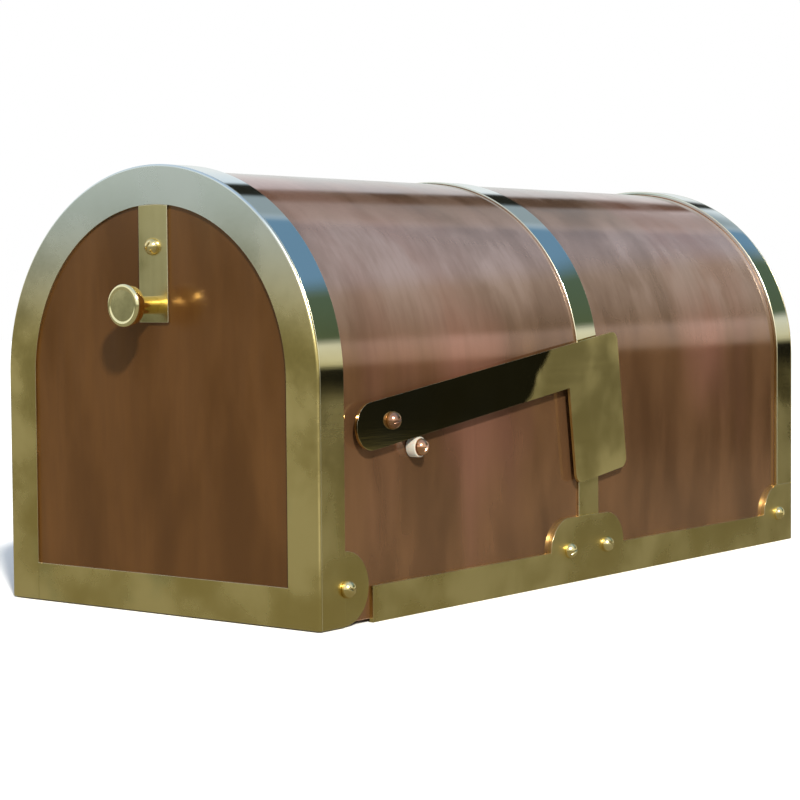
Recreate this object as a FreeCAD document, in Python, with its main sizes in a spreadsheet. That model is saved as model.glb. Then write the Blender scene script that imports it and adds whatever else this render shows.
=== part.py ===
"""Arched copper mailbox with brass trim, a drop-down door and a signal flag.

Millimetres, +Z up.  The door faces -Y, the flag is on the +X side.  Everything is drawn with y = 0
at the front face of the door ring and z = 0 at the foot of the side rails, and each finished piece
is then placed so that the origin is the centre of the four fixing holes, on the floor's underside.
"""
import FreeCAD, Part
import math
import os
import re
import Sketcher

DRIVING_SIZES = [
    ("box_width", 216, "over the door rim"),
    ("box_height", 228, "foot of the rails to the crown of the door ring"),
    ("box_length", 478, "front face of the door ring to the back face of the rear ring"),
    ("shell_thickness", 1.2, "copper sheet of the arched shell"),
    ("panel_thickness", 1.2, "copper sheet of the door and the rear panel"),
    ("ring_thickness", 1.6, "flat brass rings at both ends"),
    ("ring_width", 20.2, "face of the rings round the arch"),
    ("ring_foot", 19.5, "face of the rings along the bottom"),
    ("ring_round", 1.2, "soldered and filed outer edge of the rings"),
    ("rim_thickness", 1.2, "brass strip bent round the door"),
    ("rim_short", 1.2, "rear edge of the door rim to the hinge pins"),
    ("door_lift", 0.5, "door's bottom edge above the foot of the rails"),
    ("ear_thickness", 1.2, "hinge ears soldered inside the door rim"),
    ("ear_lap", 0.6, "filed off the ears' front edge, to fit against the door panel"),
    ("hinge_depth", 20.5, "ring face to the hinge pins"),
    ("hinge_height", 18.8, "foot of the rails to the hinge pins"),
    ("side_gap", 0.3, "free space between faces that move past each other"),
    ("swing_gap", 0.6, "free space between the door's back and the shell's lower edges"),
    ("band_thickness", 1.2, "brass band over the middle"),
    ("band_width", 20, "middle band and rear rim"),
    ("band_front", 228, "ring face to the middle band"),
    ("rail_thickness", 2.4, "brass rails along the bottom, and the rear rim"),
    ("rail_height", 18.1, "side rails; also the height of their screws and the radius of their lobes"),
    ("rail_gap", 2.2, "door's furthest sweep to the cut front end of the rails"),
    ("lobe_lead", 11.5, "first screw of the middle lobe to the middle band's front edge"),
    ("foot_screw_spacing", 38, "between the two screws of the middle lobe"),
    ("rear_screw_inset", 19, "rear face to the rear screw of the rails"),
    ("nut_room", 0.6, "nuts to the underside of the floor"),
    ("floor_thickness", 1.2, "copper sheet of the floor"),
    ("floor_flange", 17, "depth of the floor's turned-down sides"),
    ("floor_setback", 4.6, "shell's front edge to the floor's"),
    ("flange_setback", 5, "rails' front end to that of the floor's flanges"),
    ("hole_spacing_across", 127, "fixing holes, across the box"),
    ("hole_spacing_along", 305, "fixing holes, along the box"),
    ("fixing_hole_radius", 3.3, "fixing holes for quarter-inch screws"),
    ("shank_radius", 2.4, "screws of the rails, hinge and flag"),
    ("hole_gap", 0.15, "radial room of a screw in a fixed hole"),
    ("bearing_gap", 0.05, "radial room of a pin in a turning hole"),
    ("head_radius", 4.5, "round screw heads"),
    ("head_height", 4.3, "round screw heads"),
    ("slot_width", 1.1, "screw slots"),
    ("slot_depth", 1.2, "screw slots"),
    ("nut_corners", 9.2, "across the corners of the nuts"),
    ("nut_height", 3.6, "nuts"),
    ("thread_past_nut", 1.0, "screw end past its nut"),
    ("flag_pivot_back", 53.8, "ring face to the flag's pivot"),
    ("flag_pivot_drop", 20.7, "centre of the arch down to the flag's pivot"),
    ("flag_slope", 7.7, "lowered arm above level, degrees"),
    ("flag_standoff", 3.7, "shell to the back of the flag"),
    ("flag_thickness", 1.6, "brass sheet of the flag"),
    ("arm_half_width", 11.9, "half the width of the flag's arm"),
    ("flag_tail", 27.8, "pivot to the rounded tail end"),
    ("paddle_start", 158.8, "pivot to the near edge of the paddle"),
    ("paddle_width", 52.2, "paddle, along the arm"),
    ("paddle_clear", 18.8, "top of the rails' lobes to the paddle's nearest corner"),
    ("paddle_corner", 5.5, "outer corners of the paddle"),
    ("stop_along", 19.9, "pivot to the stop, along the lowered arm"),
    ("roller_radius", 5.2, "nylon roller of the flag stop"),
    ("roller_proud", 0.6, "roller past the flag's face"),
    ("spacer_radius", 5.5, "spacer behind the flag"),
    ("strap_width", 20, "strap that carries the knob"),
    ("strap_hang", 79.8, "crown of the door ring to the strap's lower end"),
    ("knob_rise", 8.8, "strap's lower end to the knob"),
    ("strap_screw_rise", 29.5, "knob to the screw in the strap"),
    ("knob_reach", 22.4, "strap to the knob's face"),
    ("knob_radius", 10.8, "knob's face"),
    ("knob_round", 1.4, "edge of the knob's face"),
    ("knob_rim", 6.2, "thickness of the knob's rim"),
    ("knob_shoulder", 10.1, "back edge of the knob's rim"),
    ("knob_cone", 1.6, "tapered back of the knob"),
    ("knob_stem_radius", 4.5, "knob's stem"),
    ("washer_radius", 7, "washer under the knob's screw"),
    ("washer_thickness", 1, "washer under the knob's screw"),
    ("knob_thread", 12, "depth of the screw in the knob's stem"),
    ("catch_width", 14, "catch leaf and catch tongue"),
    ("catch_thickness", 1, "catch leaf and catch tongue"),
    ("tongue_drop", 12.1, "shell's crown to the tongue's underside"),
    ("tongue_reach", 24, "ring face to the tongue's rear end"),
    ("tongue_foot", 12, "tongue's leg below its screw"),
    ("leaf_overlap", 7, "catch leaf past the tongue's rear end"),
    ("leaf_length", 45, "catch leaf, along the box"),
    ("leaf_seat", 26, "length of the leaf soldered to the crown"),
    ("leaf_bead", 3, "length of the leaf's rounded end"),
    ("catch_gap", 0.4, "leaf's bead above the tongue"),
]

DERIVED_SIZES = [
    ("half_width", "box_width / 2", "door ring and rim"),
    ("arch_height", "box_height - box_width / 2", "centre of every arch"),
    ("rim_inside", "half_width - rim_thickness", "inner radius of the door rim"),
    ("ear_inside", "rim_inside - ear_thickness", "inner face of the hinge ears"),
    ("shell_outside", "ear_inside - side_gap", "outer radius of the shell"),
    ("shell_inside", "shell_outside - shell_thickness", "inner radius of the shell"),
    ("rail_outside", "shell_outside + rail_thickness", "outer face of the rails and the rear rim"),
    ("door_back", "ring_thickness + panel_thickness", "back of the door panel"),
    ("rim_depth", "hinge_depth - rim_short", "ring face to the rear edge of the door rim"),
    ("ear_radius", "hinge_depth - door_back + ear_lap", "round hinge ears"),
    ("swing_radius", "hinge_depth - door_back - swing_gap", "the shell's lower front corners"),
    ("shell_front", "hinge_depth - swing_radius", "ring face to the shell's front edge"),
    ("shell_bottom", "hinge_height - swing_radius", "foot of the rails to the shell's lower edge"),
    ("rail_front", "hinge_depth + max(ear_radius; hinge_height - door_lift) + rail_gap",
     "ring face to the cut front end of the rails"),
    ("floor_height", "max(hinge_height; rail_height) + nut_corners / 2 + nut_room",
     "foot of the rails to the underside of the floor"),
    ("floor_front", "shell_front + floor_setback", "ring face to the floor's front edge"),
    ("flange_front", "rail_front + flange_setback", "ring face to the flanges' front end"),
    ("rear_inside", "box_length - ring_thickness - panel_thickness", "front of the rear panel"),
    ("rear_ring_front", "box_length - ring_thickness", "front of the rear ring"),
    ("rear_screw_back", "box_length - rear_screw_inset", "ring face to the rear screws"),
    ("foot_screw_front", "band_front - lobe_lead", "ring face to the first screw of the lobe"),
    ("foot_screw_back", "foot_screw_front + foot_screw_spacing", "second screw of the lobe"),
    ("foot_front", "foot_screw_front - rail_height", "lobe's front end"),
    ("foot_back", "foot_screw_back + rail_height", "lobe's rear end"),
    ("lobe_top", "rail_height * 2", "top of the lobes, where the bands end"),
    ("rear_lobe_front", "rear_screw_back - rail_height", "rear lobe's front end"),
    ("floor_top", "floor_height + floor_thickness", "top of the floor"),
    ("flange_bottom", "floor_height - floor_flange", "lower edge of the floor's flanges"),
    ("flange_inside", "shell_inside - floor_thickness", "inner face of the floor's flanges"),
    ("head_ball", "(head_radius ^ 2 + head_height ^ 2) / (2 * head_height)", "ball of the heads"),
    ("rail_shank", "rail_outside - flange_inside + nut_height + thread_past_nut", "rail screws"),
    ("hinge_seat", "half_width + side_gap", "under the heads of the hinge screws"),
    ("hinge_shank", "hinge_seat - shell_inside + nut_height + thread_past_nut", "hinge screws"),
    ("flag_pivot_height", "arch_height - flag_pivot_drop", "foot of the rails to the pivot"),
    ("flag_back", "shell_outside + flag_standoff", "back of the flag"),
    ("flag_front", "flag_back + flag_thickness", "front of the flag"),
    ("flag_seat", "flag_front + side_gap", "under the head of the flag's screw"),
    ("flag_shank", "flag_seat - shell_inside + nut_height + thread_past_nut", "flag's screw"),
    ("spacer_length", "flag_standoff - side_gap", "spacer behind the flag"),
    ("roller_length", "flag_standoff + flag_thickness + roller_proud", "flag stop's roller"),
    ("stop_seat", "shell_outside + roller_length", "under the head of the stop's screw"),
    ("stop_shank", "stop_seat - shell_inside + nut_height + thread_past_nut", "stop's screw"),
    ("stop_below", "arm_half_width + roller_radius + side_gap", "stop below the arm's centre line"),
    ("stop_back", "flag_pivot_back + stop_along * cos(flag_slope) + stop_below * sin(flag_slope)",
     "ring face to the stop"),
    ("stop_height", "flag_pivot_height + stop_along * sin(flag_slope) - stop_below * cos(flag_slope)",
     "foot of the rails to the stop"),
    ("tail_centre", "flag_tail - arm_half_width", "pivot to the centre of the tail's round"),
    ("paddle_drop",
     "(flag_pivot_height + paddle_start * sin(flag_slope) - lobe_top - paddle_clear) / cos(flag_slope)",
     "arm's centre line to the paddle's lower edge"),
    ("paddle_end", "paddle_start + paddle_width", "pivot to the far edge of the paddle"),
    ("paddle_round_start", "paddle_start + paddle_corner", "near lower corner"),
    ("paddle_round_end", "paddle_end - paddle_corner", "far corners"),
    ("paddle_round_low", "paddle_drop - paddle_corner", "lower corners"),
    ("paddle_round_high", "arm_half_width - paddle_corner", "upper corner"),
    ("strap_bottom", "box_height - strap_hang", "foot of the rails to the strap's lower end"),
    ("knob_height", "strap_bottom + knob_rise", "foot of the rails to the knob"),
    ("strap_screw_height", "knob_height + strap_screw_rise", "foot of the rails to the screw"),
    ("knob_face_flat", "knob_radius - knob_round", "flat of the knob's face"),
    ("knob_edge", "knob_reach - knob_round", "front end of the knob's edge"),
    ("knob_rim_back", "knob_reach - knob_rim", "back of the knob's rim"),
    ("knob_cone_back", "knob_rim_back - knob_cone", "front end of the stem"),
    ("bore_radius", "shank_radius + hole_gap", "screw holes in fixed pieces"),
    ("bearing_radius", "shank_radius + bearing_gap", "screw holes in turning pieces"),
    ("tongue_height", "arch_height + shell_inside - tongue_drop", "underside of the tongue"),
    ("tongue_top", "tongue_height + catch_thickness", "top of the tongue"),
    ("tongue_bottom", "strap_screw_height - tongue_foot", "lower end of the tongue's leg"),
    ("tongue_front", "door_back + catch_thickness", "rear face of the tongue's leg"),
    ("crown_seat", "arch_height + sqrt(shell_inside ^ 2 - (catch_width / 2) ^ 2)", "leaf's seat"),
    ("crown_under", "crown_seat - catch_thickness", "underside of the leaf's seat"),
    ("leaf_front", "tongue_reach - leaf_overlap", "ring face to the leaf's free end"),
    ("leaf_back", "leaf_front + leaf_length", "ring face to the leaf's fixed end"),
    ("leaf_bend", "leaf_back - leaf_seat", "where the leaf turns down"),
    ("leaf_low", "tongue_top + catch_gap", "underside of the leaf's bead"),
    ("leaf_low_top", "leaf_low + catch_thickness", "top of the leaf's bead"),
    ("leaf_bead_back", "leaf_front + leaf_bead", "rear end of the leaf's bead"),
    ("strap_shank", "door_back + catch_thickness + nut_height + thread_past_nut", "strap screw"),
    ("knob_shank", "door_back + washer_thickness + knob_thread", "knob's screw"),
    ("knob_seat", "door_back + washer_thickness", "under the head of the knob's screw"),
    ("half_strap", "strap_width / 2", "strap"),
]

SHEET_FUNCTIONS = {"cos", "sin", "sqrt", "max", "deg"}

document = FreeCAD.newDocument("Mailbox")
sheet = document.addObject("Spreadsheet::Sheet", "Sizes")
sub_parts = []


def fill_sheet():
    """Writes every driving and derived size, one to a row, with its alias and meaning."""
    rows = [(name, str(number), note) for name, number, note in DRIVING_SIZES]
    rows += [(name, "=" + formula, note) for name, formula, note in DERIVED_SIZES]
    for row, (name, content, note) in enumerate(rows, start=1):
        sheet.set(f"A{row}", name)
        sheet.set(f"B{row}", content)
        sheet.set(f"C{row}", note)
        sheet.setAlias(f"B{row}", name)
    document.recompute()


def size(term):
    """The number behind a size's name, which may have a minus sign; "0" is zero."""
    if term == "0":
        return 0.0
    return -sheet.get(term[1:]) if term.startswith("-") else sheet.get(term)


def bind(thing, setting, formula):
    """Ties one setting of an object to a formula of the sheet's names."""
    def full_name(found):
        word = found.group(0)
        return word if word in SHEET_FUNCTIONS else "Sizes." + word
    thing.setExpression(setting, re.sub(r"[a-z][a-z_]*", full_name, formula))


def move(thing, across="0", along="0", up="0", prefix="Placement"):
    """Binds an object's position."""
    for axis, formula in zip("xyz", (across, along, up)):
        bind(thing, f"{prefix}.Base.{axis}", formula)
    return thing


def finish(thing, label):
    """Names a finished sub-part and moves it from the drawing's zero to the part's origin."""
    thing.Label = label
    move(thing, along="-box_length / 2", up="-floor_height")
    sub_parts.append(thing)
    return thing


# ---- primitives ---------------------------------------------------------------------------------

def make_box(name, across, along, up):
    """A box between two bounds, each a pair of formulas, in every direction."""
    box = document.addObject("Part::Box", name)
    for setting, (low, high) in (("Length", across), ("Width", along), ("Height", up)):
        bind(box, setting, f"({high}) - ({low})")
    return move(box, across[0], along[0], up[0])


def make_rod(name, radius, length, turn, across="0", along="0", up="0"):
    """A cylinder; turn is the rotation that carries +Z to its own direction."""
    rod = document.addObject("Part::Cylinder", name)
    rod.Placement = FreeCAD.Placement(FreeCAD.Vector(), turn)
    bind(rod, "Radius", radius)
    bind(rod, "Height", length)
    return move(rod, across, along, up)


TOWARDS_RIGHT = FreeCAD.Rotation(FreeCAD.Vector(0, 1, 0), 90)
TOWARDS_LEFT = FreeCAD.Rotation(FreeCAD.Vector(0, 1, 0), -90)
TOWARDS_REAR = FreeCAD.Rotation(FreeCAD.Vector(1, 0, 0), -90)
TOWARDS_FRONT = FreeCAD.Rotation(FreeCAD.Vector(1, 0, 0), 90)


def join(name, pieces):
    """One solid from several."""
    if len(pieces) == 1:
        return pieces[0]
    fusion = document.addObject("Part::MultiFuse", name)
    fusion.Shapes = pieces
    return fusion


def cut(name, base, tool):
    """base with tool taken away."""
    result = document.addObject("Part::Cut", name)
    result.Base = base
    result.Tool = tool
    return result


def common(name, first, second):
    """What two solids share."""
    result = document.addObject("Part::Common", name)
    result.Base = first
    result.Tool = second
    return result


def arch_block(name, radius, front, back, bottom):
    """A solid tunnel: straight sides up to the arch's centre and a half-round crown."""
    sides = make_box(name + "_sides", (f"-({radius})", radius), (front, back), (bottom, "arch_height"))
    crown = make_rod(name + "_crown", radius, f"({back}) - ({front})", TOWARDS_FRONT,
                     along=back, up="arch_height")
    crown.Angle = 180
    return join(name, [sides, crown])


def arch_strip(name, outside, inside, front, back, bottom):
    """A strip bent over an arch: the tunnel outside less the tunnel inside."""
    outer = arch_block(name + "_outer", outside, front, back, bottom)
    inner = arch_block(name + "_inner", inside, f"{front} - 1", f"{back} + 1", f"{bottom} - 1")
    return cut(name + "_strip", outer, inner)


# ---- sketched bodies ----------------------------------------------------------------------------

def new_body(name):
    """An empty body."""
    return document.addObject("PartDesign::Body", name)


def new_sketch(body, name, plane, offset="0"):
    """A sketch on one of the body's origin planes, moved along the plane's normal."""
    sketch = body.newObject("Sketcher::SketchObject", name)
    support = [item for item in body.Origin.OriginFeatures if item.Role == plane][0]
    sketch.AttachmentSupport = [(support, "")]
    sketch.MapMode = "FlatFace"
    bind(sketch, "AttachmentOffset.Base.z", offset)
    return sketch


def pin_point(sketch, edge, end, across, up):
    """Fixes one end of an edge by two named sizes."""
    for kind, axis, term in (("DistanceX", -2, across), ("DistanceY", -1, up)):
        if term == "0":
            sketch.addConstraint(Sketcher.Constraint("PointOnObject", edge, end, axis))
        elif term.startswith("-"):
            number = sketch.addConstraint(Sketcher.Constraint(kind, edge, end, -1, 1, -size(term)))
            bind(sketch, f"Constraints[{number}]", term[1:])
        else:
            number = sketch.addConstraint(Sketcher.Constraint(kind, -1, 1, edge, end, size(term)))
            bind(sketch, f"Constraints[{number}]", term)


def draw_outline(sketch, points):
    """A closed outline.

    Each point is (across, up), or (across, up, radius, turn) where an arc starts: turn is 1 for an
    arc that bends left and -1 for one that bends right.
    """
    edges = []
    for index, point in enumerate(points):
        following = points[(index + 1) % len(points)]
        start = FreeCAD.Vector(size(point[0]), size(point[1]), 0)
        stop = FreeCAD.Vector(size(following[0]), size(following[1]), 0)
        if len(point) == 2:
            edges.append((sketch.addGeometry(Part.LineSegment(start, stop)), 1, 2))
            continue
        radius, turn = size(point[2]), point[3]
        chord = stop - start
        rise = math.sqrt(max(radius ** 2 - (chord.Length / 2) ** 2, 0))
        to_left = FreeCAD.Vector(-chord.y, chord.x, 0).normalize()
        centre = (start + stop) / 2 + to_left * (rise * turn)
        first, last = (start, stop) if turn > 0 else (stop, start)
        angles = [math.atan2(end.y - centre.y, end.x - centre.x) for end in (first, last)]
        circle = Part.Circle(centre, FreeCAD.Vector(0, 0, 1), radius)
        edge = sketch.addGeometry(Part.ArcOfCircle(circle, angles[0], angles[1]))
        edges.append((edge, 1, 2) if turn > 0 else (edge, 2, 1))
        number = sketch.addConstraint(Sketcher.Constraint("Radius", edge, radius))
        bind(sketch, f"Constraints[{number}]", point[2])
    for index, (edge, begin, end) in enumerate(edges):
        next_edge, next_begin, _ = edges[(index + 1) % len(edges)]
        sketch.addConstraint(Sketcher.Constraint("Coincident", edge, end, next_edge, next_begin))
    for (edge, begin, _), point in zip(edges, points):
        pin_point(sketch, edge, begin, point[0], point[1])


def draw_hole(sketch, radius, across, up):
    """A round hole."""
    centre = FreeCAD.Vector(size(across), size(up), 0)
    circle = Part.Circle(centre, FreeCAD.Vector(0, 0, 1), size(radius))
    edge = sketch.addGeometry(circle)
    number = sketch.addConstraint(Sketcher.Constraint("Radius", edge, size(radius)))
    bind(sketch, f"Constraints[{number}]", radius)
    pin_point(sketch, edge, 3, across, up)


def pad(body, sketch, length):
    """Thickens a sketch along its plane's normal."""
    feature = body.newObject("PartDesign::Pad", sketch.Name + "_pad")
    feature.Profile = sketch
    bind(feature, "Length", length)
    return feature


def side_plate(name, points, holes, inner_face, thickness, side):
    """A plate that stands upright along the box, on its right (1) or left (-1)."""
    body = new_body(name)
    near_face = inner_face if side > 0 else f"-({inner_face}) - ({thickness})"
    sketch = new_sketch(body, name + "_outline", "YZ_Plane", near_face)
    draw_outline(sketch, points)
    for hole in holes:
        draw_hole(sketch, *hole)
    pad(body, sketch, thickness)
    return body


def cross_strip(name, points, width):
    """A strip drawn in side view and as wide as stated, centred on the box."""
    body = new_body(name)
    sketch = new_sketch(body, name + "_outline", "YZ_Plane", f"-({width}) / 2")
    draw_outline(sketch, points)
    pad(body, sketch, width)
    return body


def turned(name, points):
    """A turned piece, drawn as a half profile whose axis is Z."""
    body = new_body(name)
    sketch = new_sketch(body, name + "_profile", "XZ_Plane")
    draw_outline(sketch, points)
    feature = body.newObject("PartDesign::Revolution", name + "_turning")
    feature.Profile = sketch
    feature.ReferenceAxis = (sketch, ["V_Axis"])
    feature.Angle = 360
    return body


# ---- fasteners ----------------------------------------------------------------------------------

def round_screw(name, shank_length):
    """A slotted round-head screw whose head stands on z = 0, shank downwards."""
    blank = turned(name, [("0", "-" + shank_length), ("shank_radius", "-" + shank_length),
                          ("shank_radius", "0"), ("head_radius", "0", "head_ball", 1),
                          ("0", "head_height")])
    slot = make_box(name + "_slot", ("-head_radius", "head_radius"),
                    ("-slot_width / 2", "slot_width / 2"),
                    ("head_height - slot_depth", "head_height + 1"))
    return cut(name + "_slotted", blank, slot)


def hexagon_nut(name):
    """A nut whose seat is z = 0, with the screw's hole through it."""
    block = document.addObject("Part::Prism", name + "_block")
    block.Polygon = 6
    bind(block, "Circumradius", "nut_corners / 2")
    bind(block, "Height", "nut_height")
    hole = make_rod(name + "_hole", "shank_radius", "nut_height + 2", FreeCAD.Rotation(), up="-1")
    return cut(name, block, hole)


def place_copies(label, pattern, places):
    """One node from equal pieces; each place is a rotation and three formulas."""
    links = []
    for number, (turn, across, along, up) in enumerate(places, start=1):
        link = document.addObject("App::Link", f"{label}_{number}")
        link.LinkedObject = pattern
        link.LinkPlacement = FreeCAD.Placement(FreeCAD.Vector(), turn)
        links.append(move(link, across, along, up, "LinkPlacement"))
    group = document.addObject("Part::Compound", label)
    group.Links = links
    return finish(group, label)


def turn_slot(turn, degrees):
    """A direction with the screw's slot turned about the screw."""
    return turn.multiply(FreeCAD.Rotation(FreeCAD.Vector(0, 0, 1), degrees))


def both_sides(places, depth):
    """The same (along, up, slot angle) places on the right and on the left side."""
    right = [(turn_slot(TOWARDS_RIGHT, angle), depth, along, up) for along, up, angle in places]
    left = [(turn_slot(TOWARDS_LEFT, -angle), f"-({depth})", along, up) for along, up, angle in places]
    return right + left


RAIL_SCREWS = [("foot_screw_front", "rail_height", 25), ("foot_screw_back", "rail_height", -40),
               ("rear_screw_back", "rail_height", 70)]
HINGE_SCREW = [("hinge_depth", "hinge_height", -20)]


# ---- body of the box ----------------------------------------------------------------------------

def side_bores(name, radius, places):
    """Rods through both sides of the box, to cut its screw holes with."""
    rods = [make_rod(f"{name}_{number}", radius, "box_width + 20", TOWARDS_RIGHT,
                     "-half_width - 10", along, up)
            for number, (along, up, _) in enumerate(places, start=1)]
    return join(name, rods)


def make_shell():
    """The copper tunnel, its lower front corners rounded about the hinge pins."""
    strip = arch_strip("tunnel", "shell_outside", "shell_inside", "shell_front", "rear_inside",
                       "shell_bottom")
    corner = make_box("corner", ("-half_width", "half_width"), ("0", "hinge_depth"),
                      ("0", "hinge_height"))
    sweep = make_rod("door_sweep", "swing_radius", "box_width + 2", TOWARDS_RIGHT,
                     "-half_width - 1", "hinge_depth", "hinge_height")
    rounding = cut("corner_waste", corner, sweep)
    bores = side_bores("side_screw_bores", "bore_radius", RAIL_SCREWS + HINGE_SCREW)
    flag_bores = [make_rod(name, "bore_radius", "half_width", TOWARDS_RIGHT, "0", along, up)
                  for name, along, up in (("pivot_bore", "flag_pivot_back", "flag_pivot_height"),
                                          ("stop_bore", "stop_back", "stop_height"))]
    waste = join("shell_waste", [rounding, bores] + flag_bores)
    finish(cut("shell_sheet", strip, waste), "shell")


def make_floor():
    """The raised floor: a tray turned down along both sides, with four fixing holes."""
    top = make_box("floor_sheet", ("-shell_inside", "shell_inside"), ("floor_front", "rear_inside"),
                   ("floor_height", "floor_top"))
    flanges = [make_box(name, bounds, ("flange_front", "rear_inside"), ("flange_bottom", "floor_top"))
               for name, bounds in (("right_flange", ("flange_inside", "shell_inside")),
                                    ("left_flange", ("-shell_inside", "-flange_inside")))]
    holes = [make_rod(f"fixing_hole_{number}", "fixing_hole_radius", "floor_thickness + 2",
                      FreeCAD.Rotation(), f"{side} * hole_spacing_across / 2",
                      f"box_length / 2 + {end} * hole_spacing_along / 2", "floor_height - 1")
             for number, (side, end) in enumerate(((-1, -1), (1, -1), (-1, 1), (1, 1)), start=1)]
    holes.append(side_bores("flange_bores", "bore_radius", RAIL_SCREWS))
    finish(cut("floor_tray", join("floor_blank", [top] + flanges), join("floor_holes", holes)),
           "floor_pan")


def end_ring(name, radius, front, back, bottom, filed_face):
    """A flat brass ring round one end, its outer edge filed round on the face that shows."""
    outer = arch_block(name + "_plate", radius, front, back, bottom)
    window = arch_block(name + "_window", f"{radius} - ring_width", f"{front} - 1", f"{back} + 1",
                        "ring_foot + door_lift")
    ring = cut(name + "_flat", outer, window)
    document.recompute()
    rounded = document.addObject("Part::Fillet", name + "_filed")
    rounded.Base = ring
    face = size(filed_face)
    limit = size(radius) - size("ring_width") / 2
    height = size("arch_height")
    numbers = []
    for number, edge in enumerate(ring.Shape.Edges, start=1):
        points = edge.discretize(5)
        on_face = all(abs(point.y - face) < 0.01 for point in points)
        middle = edge.valueAt((edge.FirstParameter + edge.LastParameter) / 2)
        out = abs(middle.x) if middle.z < height else math.hypot(middle.x, middle.z - height)
        if on_face and out > limit and middle.z > size("ring_foot"):
            numbers.append(number)
    rounded.Edges = [(number, size("ring_round"), size("ring_round")) for number in numbers]
    return rounded


def make_rear_end():
    """The rear panel, the brass ring on it and the rim bent round the shell."""
    panel = arch_block("rear_sheet", "shell_outside", "rear_inside", "rear_ring_front", "shell_bottom")
    finish(panel, "rear_panel")
    finish(end_ring("rear_ring_work", "rail_outside", "rear_ring_front", "box_length", "0",
                    "box_length"), "rear_ring")
    finish(arch_strip("rear_rim_work", "rail_outside", "shell_outside", "box_length - band_width",
                      "rear_ring_front", "lobe_top"), "rear_rim")


def make_middle_band():
    """The brass band over the middle, which ends on the rails' lobes."""
    finish(arch_strip("band_work", "shell_outside + band_thickness", "shell_outside", "band_front",
                      "band_front + band_width", "lobe_top"), "middle_band")


def make_rails():
    """The two bottom rails, each with a lobe in the middle and half a lobe at the rear."""
    outline = [("rail_front", "0"), ("rear_ring_front", "0"), ("rear_ring_front", "lobe_top"),
               ("rear_screw_back", "lobe_top", "rail_height", 1),
               ("rear_lobe_front", "rail_height"), ("foot_back", "rail_height", "rail_height", 1),
               ("foot_screw_back", "lobe_top"), ("foot_screw_front", "lobe_top", "rail_height", 1),
               ("foot_front", "rail_height"), ("rail_front", "rail_height")]
    holes = [("bore_radius", along, up) for along, up, _ in RAIL_SCREWS]
    for name, side in (("side_rail_right", 1), ("side_rail_left", -1)):
        finish(side_plate(name + "_bar", outline, holes, "shell_outside", "rail_thickness", side), name)


def make_rail_fasteners():
    """Screws and nuts that hold the rails, the shell and the floor's flanges together."""
    place_copies("rail_screws", round_screw("rail_screw", "rail_shank"),
                 both_sides(RAIL_SCREWS, "rail_outside"))
    seats = [(TOWARDS_LEFT, "flange_inside", along, up) for along, up, _ in RAIL_SCREWS]
    seats += [(TOWARDS_RIGHT, "-flange_inside", along, up) for along, up, _ in RAIL_SCREWS]
    place_copies("rail_nuts", hexagon_nut("nut"), seats)


def make_hinge_fasteners():
    """The two screws that the door's ears turn on, and their nuts inside the shell."""
    place_copies("hinge_screws", round_screw("hinge_screw", "hinge_shank"),
                 both_sides(HINGE_SCREW, "hinge_seat"))
    place_copies("hinge_nuts", document.getObject("nut"),
                 [(TOWARDS_LEFT, "shell_inside", "hinge_depth", "hinge_height"),
                  (TOWARDS_RIGHT, "-shell_inside", "hinge_depth", "hinge_height")])


def make_catch_leaf():
    """The spring leaf soldered under the crown, which presses on the door's tongue."""
    outline = [("leaf_front", "leaf_low"), ("leaf_bead_back", "leaf_low"),
               ("leaf_bend", "crown_under"), ("leaf_back", "crown_under"),
               ("leaf_back", "crown_seat"), ("leaf_bend", "crown_seat"),
               ("leaf_bead_back", "leaf_low_top"), ("leaf_front", "leaf_low_top")]
    finish(cross_strip("leaf_strip", outline, "catch_width"), "catch_leaf")


# ---- door ---------------------------------------------------------------------------------------

def make_door():
    """The copper door panel in its brass ring and rim, with two hinge ears."""
    finish(end_ring("door_ring_work", "half_width", "0", "ring_thickness", "door_lift", "0"),
           "door_ring")
    rim = arch_strip("door_rim_work", "half_width", "rim_inside", "ring_thickness", "rim_depth",
                     "door_lift")
    pin_room = side_bores("pin_room", "shank_radius + side_gap", HINGE_SCREW)
    finish(cut("door_rim_notched", rim, pin_room), "door_rim")
    sheet_blank = arch_block("door_sheet", "rim_inside", "ring_thickness", "door_back", "door_lift")
    bores = join("door_bores", [
        make_rod(name, "bore_radius", "door_back + 2", TOWARDS_REAR, along="-1", up=height)
        for name, height in (("strap_screw_bore", "strap_screw_height"), ("knob_bore", "knob_height"))])
    finish(cut("door_sheet_drilled", sheet_blank, bores), "door_panel")
    for name, side in (("hinge_ear_right", 1), ("hinge_ear_left", -1)):
        make_hinge_ear(name, side)


def make_hinge_ear(name, side):
    """A disc soldered inside the rim, trimmed behind the door panel, with the pin's bearing."""
    low, high = ("ear_inside", "rim_inside") if side > 0 else ("-rim_inside", "-ear_inside")
    disc = make_rod(name + "_disc", "ear_radius", "ear_thickness", TOWARDS_RIGHT, low,
                    "hinge_depth", "hinge_height")
    room = make_box(name + "_room", (low, high), ("door_back", "hinge_depth + ear_radius + 1"),
                    ("door_lift", "hinge_height + ear_radius + 1"))
    hole = make_rod(name + "_bearing", "bearing_radius", "ear_thickness + 2", TOWARDS_RIGHT,
                    f"{low} - 1", "hinge_depth", "hinge_height")
    finish(cut(name + "_work", common(name + "_blank", disc, room), hole), name)


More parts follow.
